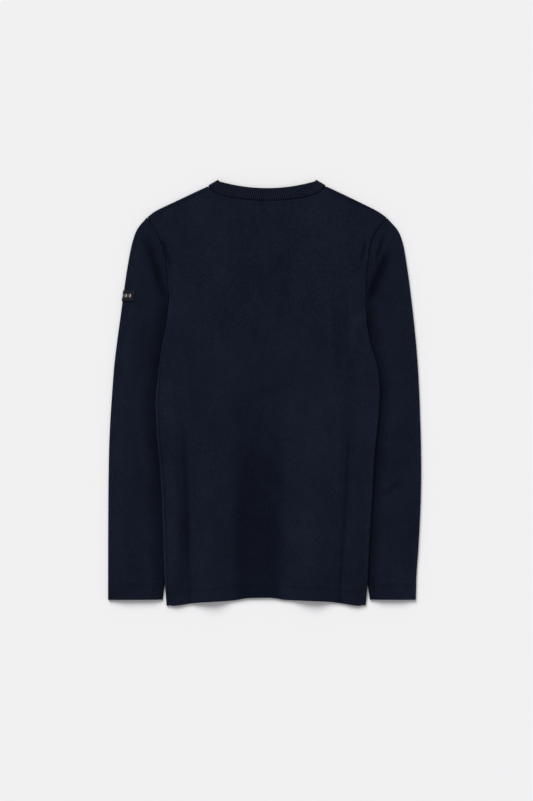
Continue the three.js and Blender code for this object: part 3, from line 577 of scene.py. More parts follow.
def hem_relief(distance, depth):
    """Height above a turned edge: the doubled cloth, two grooves and the round edge."""
    _, top_row = stitch_rows(depth)
    doubled = HEM_STEP * (1 - smooth((distance - top_row - HEM_STEP_START) / ALLOWANCE_RAMP))
    grooves = 0
    for row in stitch_rows(depth):
        near = np.clip(np.abs(distance - row) / GROOVE_HALF, 0, 1)
        grooves = grooves - STITCH_GROOVE * (0.5 + 0.5 * np.cos(np.pi * near))
    turned = np.clip(1 - distance / EDGE_ROUND, 0, 1)
    rounded = -EDGE_ROUND * (1 - np.sqrt(1 - turned**2))
    return doubled + grooves + rounded


print("hem stitches", HEM_DEPTH, "mm and cuff stitches", CUFF_DEPTH, "mm above the edge")

# %% [markdown]
# ## Body panels
# The front panel covers the floor side and turns up round the folds, and its seam lies 4 mm over the
# left side and the shoulders, on the back. The back panel covers what shows. Both come from one
# function, which differs only in which layer it lays and how the top edge is cut at the neck, because a
# maker cuts both from nearly the same pattern.

# %% Panel plan
SIDE_ROWS, ARMHOLE_ROWS, SHOULDER_COLUMNS = 15, 9, 9
BACK_NECK_COLUMNS, FRONT_NECK_COLUMNS = 15, 14
NECK_CENTRE, BODY_NECK_HALF, FRONT_SEAM_Y = 4, 96.5, 253
NECK_TOP_Y = SHOULDER_LEFT[-1][1]
SEAM_TURN, SEAM_GAP, NECK_GAP, SIDE_PULL = 0.08, 0.2, 0.2, 0.2
LEFT_SEAM_OVER = [  # y, how far over the fold the side seam lies, in quarter turns
    (-352, 1.33), (-40, 1.33), (30, 1.1), (80, 0), (360, 0),
]
SHOULDER_SEAM_OVER = [  # share of the way from the tip to the neck, quarter turns
    (0, 0), (0.12, 0.1), (0.34, 1), (0.5, 1.33), (0.86, 1.33), (1, 0.3),
]


def side_edge(side):
    """A panel's edge from the hem past the underarm to the shoulder tip."""
    below = np.linspace(side.body[0][0], side.underarm, SIDE_ROWS + 1)
    above = np.linspace(side.underarm, side.tip_y, ARMHOLE_ROWS + 1)[1:]
    return points_on(side.body, np.concatenate([below, above]))


def shoulder_points(rows, steps):
    """Points on a shoulder table, evenly spaced along X."""
    x = mix(rows[0][0], rows[-1][0], steps / SHOULDER_COLUMNS)
    return np.column_stack([x, look_up(rows, x)])


def front_neck(share):
    """Points on the front's deep round neckline, from its left corner to its right one."""
    angle = math.pi * (1 - share)
    x = NECK_CENTRE + BODY_NECK_HALF * np.cos(angle)
    return np.column_stack([x, NECK_TOP_Y - (NECK_TOP_Y - FRONT_SEAM_Y) * np.sin(angle)])


def back_neck(share):
    """Points on the back's shallow neckline, from its left corner to its right one."""
    across = 2 * share - 1
    return np.column_stack([NECK_CENTRE + BODY_NECK_HALF * across, look_up(BACK_NECK, np.abs(across))])


def top_edge(neck, neck_columns):
    """A panel's top edge: one shoulder, the neckline and the other shoulder."""
    steps = np.arange(SHOULDER_COLUMNS)
    middle = neck(np.linspace(0, 1, neck_columns + 1))
    parts = [shoulder_points(SHOULDER_LEFT, steps), middle, shoulder_points(SHOULDER_RIGHT, steps + 1)]
    return np.vstack(parts)


print("columns of the back's top edge:", len(top_edge(back_neck, BACK_NECK_COLUMNS)))

# %% Panel edges


def hem_places(hand, top):
    """Where each column of a panel ends on the hem. The front's run straight up to its deep neck."""
    low_x = mix(HEM[0][0], HEM[-1][0], (top[:, 0] - top[0, 0]) / (top[-1, 0] - top[0, 0]))
    if hand < 0:
        shoulder = SHOULDER_COLUMNS + 1
        low_x = top[:, 0].copy()
        low_x[:shoulder] = np.linspace(HEM[0][0], top[shoulder - 1, 0], shoulder)
        low_x[-shoulder:] = np.linspace(top[-shoulder, 0], HEM[-1][0], shoulder)
    return low_x


def panel_edges(hand, margin, neck, neck_columns):
    """A panel's edge lines, moved in by its margin, and the ways into the cloth along them."""
    left, right = side_edge(LEFT), side_edge(RIGHT)
    top = top_edge(neck, neck_columns)
    low_x = hem_places(hand, top)
    low = np.column_stack([low_x, look_up(HEM, low_x)])
    left_in, right_in, top_in = inward_along(left, -1), inward_along(right, 1), inward_along(top, -1)
    inner_left, inner_right = left + left_in * margin, right + right_in * margin
    inner_top = top + top_in * margin
    inner_left[-1] = inner_top[0] = inner_left[-1] + top_in[0] * margin
    inner_right[-1] = inner_top[-1] = inner_right[-1] + top_in[-1] * margin
    low[0], low[-1] = inner_left[0], inner_right[0]
    return {
        "low": low, "top": inner_top, "top_in": top_in, "outline": left,
        "left": inner_left, "left_in": left_in, "right": inner_right, "right_in": right_in,
    }


def blend_inside(hand, edges, lines, up):
    """Places inside a panel, blended between its four edge lines."""
    low, top = edges["low"], edges["top"]
    u = ((lines["low"][:, 0] - low[0, 0]) / (low[-1, 0] - low[0, 0]))[None, :, None]
    v = up[:, None, None]
    left_pull, right_pull = 1 - u, u
    if hand < 0:
        left_pull, right_pull = smooth(1 - u / SIDE_PULL), smooth(1 - (1 - u) / SIDE_PULL)
    return (
        lines["low"][None] * (1 - v) + lines["top"][None] * v
        + (lines["left"][:, None] - mix(low[0], top[0], v)) * left_pull
        + (lines["right"][:, None] - mix(low[-1], top[-1], v)) * right_pull
    )


print("points along a panel's side:", len(side_edge(LEFT)))

# %% Panel surface


def panel_points(hand, margin, start_turn, neck, neck_columns, columns_at, rows_at, strip_steps):
    """Grid of places of one body panel, in mm. hand is 1 for the upper layer and -1 for the lower."""
    edges = panel_edges(hand, margin, neck, neck_columns)
    last_column, last_row = len(edges["top"]) - 1, len(edges["left"]) - 1

    # Places along the edge lines. beyond and above are how far into the margin a column or a row is.
    strip = np.linspace(0, 1, strip_steps + 1)
    right_strip = np.full(strip_steps, last_column)
    i = np.concatenate([np.zeros(strip_steps), columns_at * last_column, right_strip])
    beyond = np.concatenate([-strip[:0:-1], np.zeros(len(columns_at)), strip[1:]])
    j = np.concatenate([rows_at * last_row, np.full(strip_steps, last_row)])
    above = np.concatenate([np.zeros(len(rows_at)), strip[1:]])
    corners = (SHOULDER_COLUMNS, last_column - SHOULDER_COLUMNS)
    lines = {name: between(edges[name], i, corners) for name in ("low", "top", "top_in")}
    for name in ("left", "left_in", "right", "right_in"):
        lines[name] = between(edges[name], j)
    inside = blend_inside(hand, edges, lines, j / last_row)

    # Where the margin is folded, and how far over the fold its seam lies.
    from_end = np.minimum(i, last_column - i)
    top_fold = np.interp(from_end, [SHOULDER_COLUMNS - 1, SHOULDER_COLUMNS + 1], [1, 0])
    side_fold = np.interp(j, [SIDE_ROWS - 1, SIDE_ROWS + 1], [1, 0])
    shoulder_share = from_end / SHOULDER_COLUMNS
    top_seam = np.where(shoulder_share < 1, look_up(SHOULDER_SEAM_OVER, shoulder_share), 0)
    edge_y = between(edges["outline"], j)[:, 1]
    side_seam = np.where(beyond[None] < 0, look_up(LEFT_SEAM_OVER, edge_y)[:, None], 0)

    def bent(share, folded, seam, gap):
        """How far out a margin reaches, and its share of the height, folded or flat."""
        out, level = fold_way(mix(start_turn, seam + hand * SEAM_TURN, share))
        flat = (margin - gap) * share
        return mix(flat, margin - FOLD_INSET + out, folded), mix(hand, level, folded)

    side_share = np.abs(beyond)[None]
    side_out, side_level = bent(side_share, side_fold[:, None], side_seam, SEAM_GAP / 2)
    neck_gap = np.where(top_fold == 0, NECK_GAP, SEAM_GAP / 2)
    top_out, top_level = bent(above[:, None], top_fold[None], top_seam[None], neck_gap[None])
    side_on = (side_share > 0) * np.ones((len(j), 1))
    top_on = (above[:, None] > 0) * np.ones((1, len(i)))
    on_left = (beyond < 0)[None, :, None]
    side_in = np.where(on_left, lines["left_in"][:, None], lines["right_in"][:, None])

    def moved(side_way, top_way):
        """Places moved outwards into the margins."""
        return (
            inside
            - side_in * (side_way * side_on)[..., None]
            - lines["top_in"][None] * (top_way * top_on)[..., None]
        )

    # A place's height is that of the layers where it lies, or where its fold starts.
    spot = moved(side_out, top_out)
    reach = margin - FOLD_INSET
    probe = moved(np.minimum(side_out, reach), np.minimum(top_out, reach))
    share = np.where(side_on > 0, side_level, hand)
    share = np.where((top_on > 0) & (top_fold[None] > 0), top_level, share)
    x, y = probe[..., 0], probe[..., 1]
    low_level = lift(x, y)
    half = (2 * WALL + air(x, y)) / 2
    level = low_level + half + half * share
    edge = {"side": 1 - side_share * side_on, "top": 1 - above[:, None] * top_on,
            "side_fold": side_fold, "top_fold": top_fold}
    return np.dstack([spot, level]), edge


print("panel rows to the underarm:", SIDE_ROWS)

# %% [markdown]
# The back is given rows close together at the hem, where its stitches are sunk in, and a fine margin
# along the armholes and the neck, where the seams pull at it. A subdivision surface would make the whole
# panel that fine. Elsewhere a point every 3 mm is enough.

# %% Back panel places
BACK_MARGIN, BACK_STRIP_STEPS, BACK_COLUMNS = 7, 9, 118
EDGE_STEPS, FINE_START = [0, 0.3, 0.7, 1.2, 1.8], 2.4
FINE_STEP, COARSE_STEP, PANEL_FINE, PANEL_LENGTH = 0.8, 3.0, 28, 640


def hem_rows(fine_length, length):
    """Shares of the way up a piece, close together near its lower edge."""
    fine = np.arange(FINE_START, fine_length, FINE_STEP)
    coarse = np.linspace(fine_length, length, round((length - fine_length) / COARSE_STEP))
    return np.concatenate([EDGE_STEPS, fine, coarse]) / length


panel_rows = hem_rows(PANEL_FINE, PANEL_LENGTH)
back_points, edge = panel_points(
    hand=1, margin=BACK_MARGIN, start_turn=BACK_MARGIN / FOLD_INSET, neck=back_neck,
    neck_columns=BACK_NECK_COLUMNS, columns_at=np.linspace(0, 1, BACK_COLUMNS), rows_at=panel_rows,
    strip_steps=BACK_STRIP_STEPS,
)
print("back panel points:", back_points.shape[:2])

# %% Back panel relief
NO_SEAM, SIDE_SEAM_TOP, NECK_RIDGE = 60, 20, 0.25

along = cloth_run(back_points, ALONG_COLUMNS)
middle = back_points.shape[1] // 2
left_half = (np.arange(back_points.shape[1]) < middle)[None]
sewn = (edge["side_fold"][:, None] == 0) | (left_half & (back_points[..., 1] < SIDE_SEAM_TOP))
to_side = np.where(sewn & (edge["side"] < 1), edge["side"] * BACK_MARGIN, NO_SEAM)
to_top = np.where(edge["top"] < 1, edge["top"] * BACK_MARGIN, NO_SEAM)
relief = hem_relief(along, HEM_DEPTH) + seam_relief(to_side) + seam_relief(to_top, ridge=NECK_RIDGE)
back_points[..., 2] += relief + dimples(back_points[..., 0], back_points[..., 1])
print("relief in mm:", round(float(relief.min()), 2), "to", round(float(relief.max()), 2))

# %% Back panel painted shade
BACK_HIGHLIGHT_START, FRONT_HIGHLIGHT_START, HIGHLIGHT_RAMP = 0.45, 0.7, 0.3

# Painted shade in the back's troughs and creases, in its seam ditches and along the hem's stitches.
painted_shade = fold_rise(BACK_PAINTED_SHADE, back_points[..., 0], back_points[..., 1], flatness=2)
side_seam_shade = np.where(edge["side_fold"] > 0, FOLDED_SEAM_SHADE, ARMHOLE_SEAM_SHADE)[:, None]
top_seam_shade = np.where(edge["top_fold"] > 0, FOLDED_SEAM_SHADE, NECK_SEAM_SHADE)[None]
painted_shade = painted_shade + seam_painted_shade(to_side, side_seam_shade) + seam_painted_shade(to_top, top_seam_shade)
painted_shade = np.clip(painted_shade + stitch_painted_shade(along, HEM_DEPTH), 0, DEEPEST_PAINTED_SHADE)
right_side = (edge["side_fold"][:, None] > 0) & ~left_half
# Along the folded right side, a painted highlight makes the cloth lighter.
painted_shade = painted_shade - FOLD_HIGHLIGHT * smooth((BACK_HIGHLIGHT_START - edge["side"]) / HIGHLIGHT_RAMP) * right_side
back_panel = give_wall(grid_mesh("back_panel", back_points, middle, painted_shade=painted_shade), CLOTH_WALL)
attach(back_panel, "root")
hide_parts("back_body")
print("back panel cloth m2:", round(cloth_area(back_panel), 4))

# %% [markdown]
# The front panel is made in the same way, but its margin turns up round the fold and ends at the seam.
# Its neck is cut deep and round, as on a crew neck, so that it can be pulled over a head. The photograph
# hides the front, so its relief is only the rounded edge of its hem.

# %% Front panel
FRONT_STRIP_STEPS, FRONT_COLUMNS, FRONT_ROUND = 12, 110, 0.6

front_points, edge = panel_points(
    hand=-1, margin=FOLD_INSET, start_turn=-1, neck=front_neck, neck_columns=FRONT_NECK_COLUMNS,
    columns_at=np.linspace(0, 1, FRONT_COLUMNS), rows_at=panel_rows, strip_steps=FRONT_STRIP_STEPS,
)
rounded = np.minimum(0, hem_relief(cloth_run(front_points, ALONG_COLUMNS), HEM_DEPTH))
front_points[..., 2] -= rounded * FRONT_ROUND
# Round its turned edges, a painted highlight makes the front's cloth lighter.
turned = smooth((FRONT_HIGHLIGHT_START - np.minimum(edge["side"], edge["top"])) / HIGHLIGHT_RAMP)
front_panel = grid_mesh("front_panel", front_points, front_points.shape[1] // 2, faces_up=False,
                        painted_shade=-FOLD_HIGHLIGHT * turned)
give_wall(front_panel, CLOTH_WALL)
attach(front_panel, "root")
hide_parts("front_body")
print("front panel points:", front_points.shape[:2], "cloth m2:", round(cloth_area(front_panel), 4))

# %% [markdown]
# ## Sleeves
# A sleeve is a tube that is laid flat. Each row of its grid runs once round: out along the lower layer,
# round the outer fold, back along the upper layer and round the inner fold, where the real sleeve has
# its seam. A squashed cylinder would have no such folds. Merging the first column with the last closes
# the tube, and leaves its ends open.

# %% Sleeve surface
SLEEVE_ROWS, SLEEVE_HEAD_ROWS = 11, 8
HEAD_START, HEAD_SHIFT = 40, 20
LAYER_COLUMNS, FOLD_COLUMNS = 30, 12
OUTER_FOLD = LAYER_COLUMNS + FOLD_COLUMNS // 2
UPPER_SIDE = slice(OUTER_FOLD, -(FOLD_COLUMNS // 2))


def sleeve_points(side, rows_at):
    """Grid of places of one sleeve, in mm, once round for each row from the cuff up."""
    last_row = SLEEVE_ROWS + SLEEVE_HEAD_ROWS
    cuff_y = side.outer[0][0]
    head_y = side.underarm - HEAD_START

    def heights(shift, end_y):
        """Heights of the rows along one fold of the sleeve."""
        below = np.linspace(cuff_y, head_y + shift, SLEEVE_ROWS + 1)
        return np.concatenate([below, np.linspace(head_y + shift, end_y, SLEEVE_HEAD_ROWS + 1)[1:]])

    outer = points_on(side.outer, heights(HEAD_SHIFT, side.tip_y))
    inner = points_on(side.inner, heights(-HEAD_SHIFT, side.underarm))
    outer_in, inner_in = inward_along(outer, side.sign), inward_along(inner, -side.sign)
    armhole = points_on(side.body, np.linspace(side.tip_y, side.underarm, ARMHOLE_ROWS + 1))
    seam = armhole + inward_along(armhole, side.sign) * SEAM_GAP
    outer_line, inner_line = outer + outer_in * FOLD_INSET, inner + inner_in * FOLD_INSET
    tip_step = np.linalg.norm(seam[1] - seam[0])
    seam[0] = outer_line[-1] = mix(seam[0], seam[1], FOLD_INSET / tip_step)
    seam[-1] = inner_line[-1]

    j = rows_at * last_row
    lines = {
        "outer": between(outer_line, j), "inner": between(inner_line, j),
        "outer_in": between(outer_in, j), "inner_in": between(inner_in, j),
    }
    v = (j / last_row)[:, None]

    def inside(share):
        """Places along a column, at a share of the way from the outer to the inner fold."""
        cuff = mix(outer_line[0], inner_line[0], share)
        head = between(seam, np.array([share * ARMHOLE_ROWS]))[0]
        point = cuff * (1 - v) + head * v + lines["outer"] * (1 - share) + lines["inner"] * share
        point = point - outer_line[0] * (1 - share) * (1 - v) - inner_line[0] * share * (1 - v)
        return point - outer_line[-1] * (1 - share) * v - inner_line[-1] * share * v

    def raised(base, out, level_share):
        """The column moved out and raised: -1 is the floor, and 1 the top of the sleeve."""
        high = sleeve_top(side, base[:, 0], base[:, 1])
        return np.column_stack([base + out, high / 2 * (1 + level_share)])

    columns = []
    for share in np.linspace(1, 0, LAYER_COLUMNS + 1):
        columns.append(raised(inside(share), 0, -1))
    for turn in np.linspace(-1, 1, FOLD_COLUMNS + 1)[1:-1]:
        out, level = fold_way(turn)
        columns.append(raised(lines["outer"], -lines["outer_in"] * out, level))
    for share in np.linspace(0, 1, LAYER_COLUMNS + 1):
        columns.append(raised(inside(share), 0, 1))
    for turn in np.linspace(1, -1, FOLD_COLUMNS + 1)[1:]:
        out, level = fold_way(turn)
        columns.append(raised(lines["inner"], -lines["inner_in"] * out, level))
    return np.stack(columns, axis=1)


print("columns once round a sleeve:", 2 * (LAYER_COLUMNS + FOLD_COLUMNS))

# %% Sleeves
SLEEVE_FINE, SLEEVE_LENGTH, HEAD_ZONE, UPPER_LEVEL, UPPER_RAMP = 32, 630, 12, 3, 2
HEAD_STEPS = np.array([10, 8, 6.5, 5.2, 4, 3, 2.2, 1.6, 1.1, 0.7, 0.35, 0])

low_rows = hem_rows(SLEEVE_FINE, SLEEVE_LENGTH)
low_rows = low_rows[low_rows < 1 - HEAD_ZONE / SLEEVE_LENGTH]
sleeve_rows = np.concatenate([low_rows, 1 - HEAD_STEPS / SLEEVE_LENGTH])


def make_sleeve(name, side, node, sleeve_shade_table):
    """One sleeve as a finished piece, and its grid of places for the cuff's stitches."""
    points = sleeve_points(side, sleeve_rows)
    along = cloth_run(points, ALONG_COLUMNS)
    to_seam = along[-1:] - along
    upper = smooth((points[..., 2] - UPPER_LEVEL) / UPPER_RAMP)
    relief = hem_relief(along, CUFF_DEPTH) + seam_relief(to_seam, ridge=0)
    points[..., 2] += upper * (relief + dimples(points[..., 0], points[..., 1]))
    # Painted shade in the sleeve's troughs, painted shadow beside the body, painted shade along the
    # armhole seam and the cuff stitches, and a painted highlight round the outer fold, on the side that
    # faces up only.
    painted_shade = sleeve_painted_shade(side, sleeve_shade_table, points[..., 0], points[..., 1])
    painted_shade = painted_shade + seam_painted_shade(to_seam, ARMHOLE_SEAM_SHADE) + stitch_painted_shade(along, CUFF_DEPTH)
    facing_up = np.zeros(points.shape[1])
    facing_up[UPPER_SIDE] = 1
    painted_shade = painted_shade * facing_up
    sleeve = grid_mesh(name, points, OUTER_FOLD, faces_up=side.sign < 0, tube=True, painted_shade=painted_shade)
    give_wall(sleeve, CLOTH_WALL)
    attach(sleeve, "root")
    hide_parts(node)
    print(name, points.shape[:2], "cloth m2:", round(cloth_area(sleeve), 4))
    return sleeve, points


left_sleeve, left_points = make_sleeve("left_sleeve", LEFT, "sleeve_left", LEFT_SLEEVE_PAINTED_SHADE)
right_sleeve, right_points = make_sleeve("right_sleeve", RIGHT, "sleeve_right", RIGHT_SLEEVE_PAINTED_SHADE)

# %% [markdown]
# ## Ribbed neck band
# The band is a strip of one-by-one rib, folded double, so its upper edge is round. It is laid flat: its
# back half lies above, it turns at both corners, and its front half lies on the floor. Ribs made one by
# one would leave gaps at the corners. So one grid runs round the neck in one direction and round the
# doubled cloth in the other, and a wave raises the ribs.

# %% Neck band lines
BAND_SEAM_HALF, BAND_EDGE_HALF = 95.8, 79
BAND_CORNER_Y, BAND_EDGE_CORNER_Y, BAND_EDGE_MIDDLE_Y = 340.4, 350.2, 339
FRONT_EDGE_Y, BAND_LEVEL, BAND_LOW_LEVEL = 274, 5.1, 1.6
BACK_RIBS, FRONT_RIBS, CORNER_RIBS, RIB_STEPS, CURVE_STEPS = 56, 82, 2, 6, 401


def even_points(curve, count):
    """Evenly spaced points along a finely drawn curve."""
    steps = np.linalg.norm(np.diff(curve, axis=0), axis=1)
    run = np.concatenate([[0], np.cumsum(steps)])
    at = np.linspace(0, run[-1], count + 1)
    return np.column_stack([np.interp(at, run, curve[:, axis]) for axis in range(2)])


def band_lines():
    """The band's seam line and edge line, first over the back and then round the front."""
    across = np.linspace(-1, 1, CURVE_STEPS)
    angle = np.linspace(0, math.pi, CURVE_STEPS)
    seam_y = np.minimum(BAND_CORNER_Y, look_up(BACK_NECK, np.abs(across)))
    edge_y = mix(BAND_EDGE_MIDDLE_Y, BAND_EDGE_CORNER_Y, across**2)

    def dip(half, corner_y, low_y):
        """A half ellipse round the front of the neck."""
        x = NECK_CENTRE + half * np.cos(angle)
        return np.column_stack([x, corner_y - (corner_y - low_y) * np.sin(angle)])

    back = BACK_RIBS * RIB_STEPS
    front = FRONT_RIBS * RIB_STEPS
    return (
        even_points(np.column_stack([NECK_CENTRE + BAND_SEAM_HALF * across, seam_y]), back),
        even_points(np.column_stack([NECK_CENTRE + BAND_EDGE_HALF * across, edge_y]), back),
        even_points(dip(BAND_SEAM_HALF, BAND_CORNER_Y, FRONT_SEAM_Y), front),
        even_points(dip(BAND_EDGE_HALF, BAND_EDGE_CORNER_Y, FRONT_EDGE_Y), front),
    )


print("steps round the neck:", (BACK_RIBS + FRONT_RIBS + 2 * CORNER_RIBS) * RIB_STEPS)

# %% Neck band stations


def band_stations():
    """Seam place, edge place and outward direction at each step round the neck."""
    back_seam, back_edge, front_seam, front_edge = band_lines()
    radius = (BAND_LEVEL - BAND_LOW_LEVEL) / 2
    middle_level = (BAND_LEVEL + BAND_LOW_LEVEL) / 2
    seams, edges, outs = [], [], []

    def add(seam, edge, out, level):
        """One more station."""
        seams.append([*seam[:2], level])
        edges.append([*edge[:2], level])
        outs.append(out)

    def corner(seam, edge, way):
        """Stations on a half turn, between the half above and the half on the floor."""
        run = (edge - seam) / np.linalg.norm(edge - seam)
        away = np.array([-run[1], run[0]])
        away = away if away[1] > 0 else -away
        steps = CORNER_RIBS * RIB_STEPS
        for k in range(1, steps):
            angle = way * (math.pi / 2 - math.pi * k / steps)
            shift = away * math.cos(angle) * radius
            out = [*(away * math.cos(angle)), math.sin(angle)]
            add(seam + shift, edge + shift, out, middle_level + radius * math.sin(angle))

    for seam, edge in zip(back_seam, back_edge):
        add(seam, edge, [0, 0, 1], BAND_LEVEL)
    corner(front_seam[0], front_edge[0], 1)
    for seam, edge in zip(front_seam, front_edge):
        add(seam, edge, [0, 0, -1], BAND_LOW_LEVEL)
    corner(back_seam[0], back_edge[0], -1)
    seams.append(seams[0])
    edges.append(edges[0])
    outs.append(outs[0])
    return np.array(seams), np.array(edges), np.array(outs)


seams, edges, outs = band_stations()
print("stations round the neck:", len(seams))

# %% Neck band
BAND_WALL, BAND_DEPTH, TURN_SHARE, FACE_STEPS, TURN_STEPS = 2.4, 20, 0.06, 9, 7
# RIB_RAISE and RIB_FADE shape the ribs; the last is the painted shade in the valleys between them.
RIB_RAISE, RIB_FADE, RIB_FIRST, RIB_VALLEY_SHADE = 0.5, 0.12, 0.25, 1.0
BAND_SINK, BAND_SINK_WIDTH = 0.3, 1.3


def band_section(half):
    """Places round the doubled cloth: share of the band's width, and height off its middle."""
    face = [(share, half) for share in np.linspace(0, 1 - TURN_SHARE, FACE_STEPS)]
    turn = [
        (1 - TURN_SHARE + TURN_SHARE * math.cos(a), half * math.sin(a))
        for a in np.linspace(math.pi / 2, -math.pi / 2, TURN_STEPS)[1:-1]
    ]
    return face + turn + [(share, -height) for share, height in reversed(face)] + [face[0]]


phase = np.arange(len(seams)) * 2 * math.pi / RIB_STEPS
rib_wave = 0.5 + 0.5 * np.cos(phase)
rows, shade_rows = [], []
for share, height in band_section(BAND_WALL / 2):
    ribbed = smooth(share / RIB_FADE + RIB_FIRST) * abs(height) / (BAND_WALL / 2)
    sink = -BAND_SINK * math.exp(-((share * BAND_DEPTH / BAND_SINK_WIDTH) ** 2)) if height > 0 else 0
    raised = height + math.copysign(1, height) * RIB_RAISE * rib_wave * ribbed + sink
    rows.append(mix(seams, edges, share) + outs * raised[:, None])
    # Painted shade in the valleys between the ribs, and along the seam under the band.
    band_seam_shade = seam_painted_shade(share * BAND_DEPTH, NECK_SEAM_SHADE)
    shade_rows.append(np.clip(RIB_VALLEY_SHADE * (1 - rib_wave) + band_seam_shade, 0, 1))
band_points, band_shade = np.stack(rows, axis=0), np.stack(shade_rows, axis=0)
neck_rib = grid_mesh("neck_rib", band_points, 0, tube=True, painted_shade=band_shade)
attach(neck_rib, "root")
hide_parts("neck_band")
print("neck rib points:", band_points.shape[:2], "ribs:", BACK_RIBS + FRONT_RIBS + 2 * CORNER_RIBS)

# %% [markdown]
# ## Sleeve label
# A small woven label is sewn over the outer fold of the left sleeve. A flat tag would stand off the
# fold, so the label's points are placed by the same rules as the sleeve, a little above it.

# %% Label
LABEL_LOW_Y, LABEL_HIGH_Y, LABEL_REACH = 152, 170, 19
LABEL_GAP, LABEL_WALL, LABEL_UNDER = 0.45, 1.0, -25
LABEL_ROWS, TURN_COLUMNS, FACE_COLUMNS = 19, 14, 15
label_turns = np.radians(np.linspace(LABEL_UNDER, 90, TURN_COLUMNS))
label_shares = np.linspace(0, 1, FACE_COLUMNS + 1)[1:]


def label_point(y, column):
    """Place of a point of the label on the sleeve, and the way out of the cloth there."""
    fold_x = float(look_up(LEFT.outer, y))
    if column < TURN_COLUMNS:
        angle = label_turns[column]
        high = float(sleeve_top(LEFT, fold_x + FOLD_INSET, y))
        out = np.array([-math.cos(angle), 0, math.sin(angle)])
        x = fold_x + FOLD_INSET - FOLD_INSET * math.cos(angle)
        return np.array([x, y, high / 2 * (1 + math.sin(angle))]), out
    x = fold_x + mix(FOLD_INSET, LABEL_REACH, label_shares[column - TURN_COLUMNS])
    slope = float(sleeve_top(LEFT, x + 1, y) - sleeve_top(LEFT, x - 1, y)) / 2
    out = np.array([-slope, 0, 1]) / math.hypot(slope, 1)
    return np.array([x, y, float(sleeve_top(LEFT, x, y))]), out


label_rows = []
for y in np.linspace(LABEL_LOW_Y, LABEL_HIGH_Y, LABEL_ROWS):
    row = []
    for column in range(TURN_COLUMNS + FACE_COLUMNS):
        place, out = label_point(y, column)
        row.append(place + out * (LABEL_GAP + LABEL_WALL))
    label_rows.append(row)
label_points = np.array(label_rows)
arm_label = give_wall(grid_mesh("sleeve_label", label_points, 0), LABEL_WALL)
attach(arm_label, "root")
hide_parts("arm_label")
print("label points:", label_points.shape[:2], "cloth mm2:", round(cloth_area(arm_label) * 1e6))

# %% [markdown]
# ## Seam allowances
# Inside a sewn seam lie the two edges of cloth, overlocked together. They can't be seen from above, but
# they close the seam, so no light comes through it. The panels could be made to touch instead, but then
# they would cut into each other. Each allowance is a narrow strip just under the cloth.

# %% Seam allowances
ALLOWANCE_DEPTH, ALLOWANCE_WALL, ALLOWANCE_HALF, ALLOWANCE_COLUMNS = 2.7, 0.5, 3.2, 5
UNDERARM_LEVEL, UNDERARM_TOP, UNDERARM_RAMP = 2.4, 4, 8
ARMHOLE_FROM, ARMHOLE_TO, ARMHOLE_STEPS = -0.2, 0.985, 72
NECK_FROM, NECK_TO, NECK_STEPS = 0.02, 0.98, 80
INSIDE_SEAM = 4


def body_top(x, y):
    """Level of the upper layer's outer face."""
    return lift(x, y) + 2 * WALL + air(x, y)


def seam_strip(name, line, inward, level):
    """A strip of cloth under a seam line. level gives its height at each point of the line."""
    across = np.linspace(-1, 1, ALLOWANCE_COLUMNS)
    places = line[:, None] + inward[:, None] * (across * ALLOWANCE_HALF)[None, :, None]
    height = np.broadcast_to(level[:, None], places.shape[:2])
    strip = grid_mesh(name, np.dstack([places, height]), ALLOWANCE_COLUMNS // 2)
    give_wall(strip, ALLOWANCE_WALL)
    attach(strip, "root")
    return strip


def armhole_line(side, count, first, last):
    """Points along an armhole between two shares of its length, and the ways into the body."""
    y = mix(side.underarm, side.tip_y, np.linspace(first, last, count))
    line = points_on(side.body, y)
    return line, inward_along(line, side.sign)


print("allowances are", 2 * ALLOWANCE_HALF, "mm wide")

# %% Seam allowance pieces
allowances = []
for side, label in ((LEFT, "left"), (RIGHT, "right")):
    line, inward = armhole_line(side, ARMHOLE_STEPS, ARMHOLE_FROM, ARMHOLE_TO)
    inner = line + inward * INSIDE_SEAM
    level = body_top(inner[:, 0], inner[:, 1]) - ALLOWANCE_DEPTH
    below = smooth((side.underarm + UNDERARM_TOP - line[:, 1]) / UNDERARM_RAMP)
    level = mix(level, UNDERARM_LEVEL, below)
    allowances.append(seam_strip(f"{label}_armhole_allowance", line, inward, level))

neck_line = back_neck(np.linspace(NECK_FROM, NECK_TO, NECK_STEPS))
neck_in = inward_along(neck_line, -1)
neck_level = body_top(neck_line[:, 0], neck_line[:, 1] - INSIDE_SEAM) - ALLOWANCE_DEPTH
allowances.append(seam_strip("back_neck_allowance", neck_line, neck_in, neck_level))
print("seam allowances:", [piece.name for piece in allowances])

# %% [markdown]
# ## Stitches
# Two rows of stitches hold the turned hem and each cuff, on the side that faces up. Two more run beside
# each armhole, and one along the neck seam. A stitch is a tiny bead of yarn, drawn out along its row. A
# curve could be threaded in and out of the cloth, but it would need far more faces. Beads made from the
# smallest icosphere look the same at this size, and there are many hundreds of them.

# %% Stitch helpers
STITCH_LENGTH, STITCH_GAP, STITCH_WIDTH, STITCH_HEIGHT, LOOK_AHEAD = 2.6, 0.7, 0.7, 0.5, 0.5


def spaced_places(points, pitch):
    """Places and directions every pitch along a line of points in space."""
    steps = np.linalg.norm(np.diff(points, axis=0), axis=1)
    run = np.concatenate([[0], np.cumsum(steps)])
    at = np.arange(pitch / 2, run[-1], pitch)

    def place_at(distances):
        """Points at the given distances along the line."""
        return np.column_stack([np.interp(distances, run, points[:, axis]) for axis in range(3)])

    return place_at(at), place_at(at + LOOK_AHEAD) - place_at(at - LOOK_AHEAD)


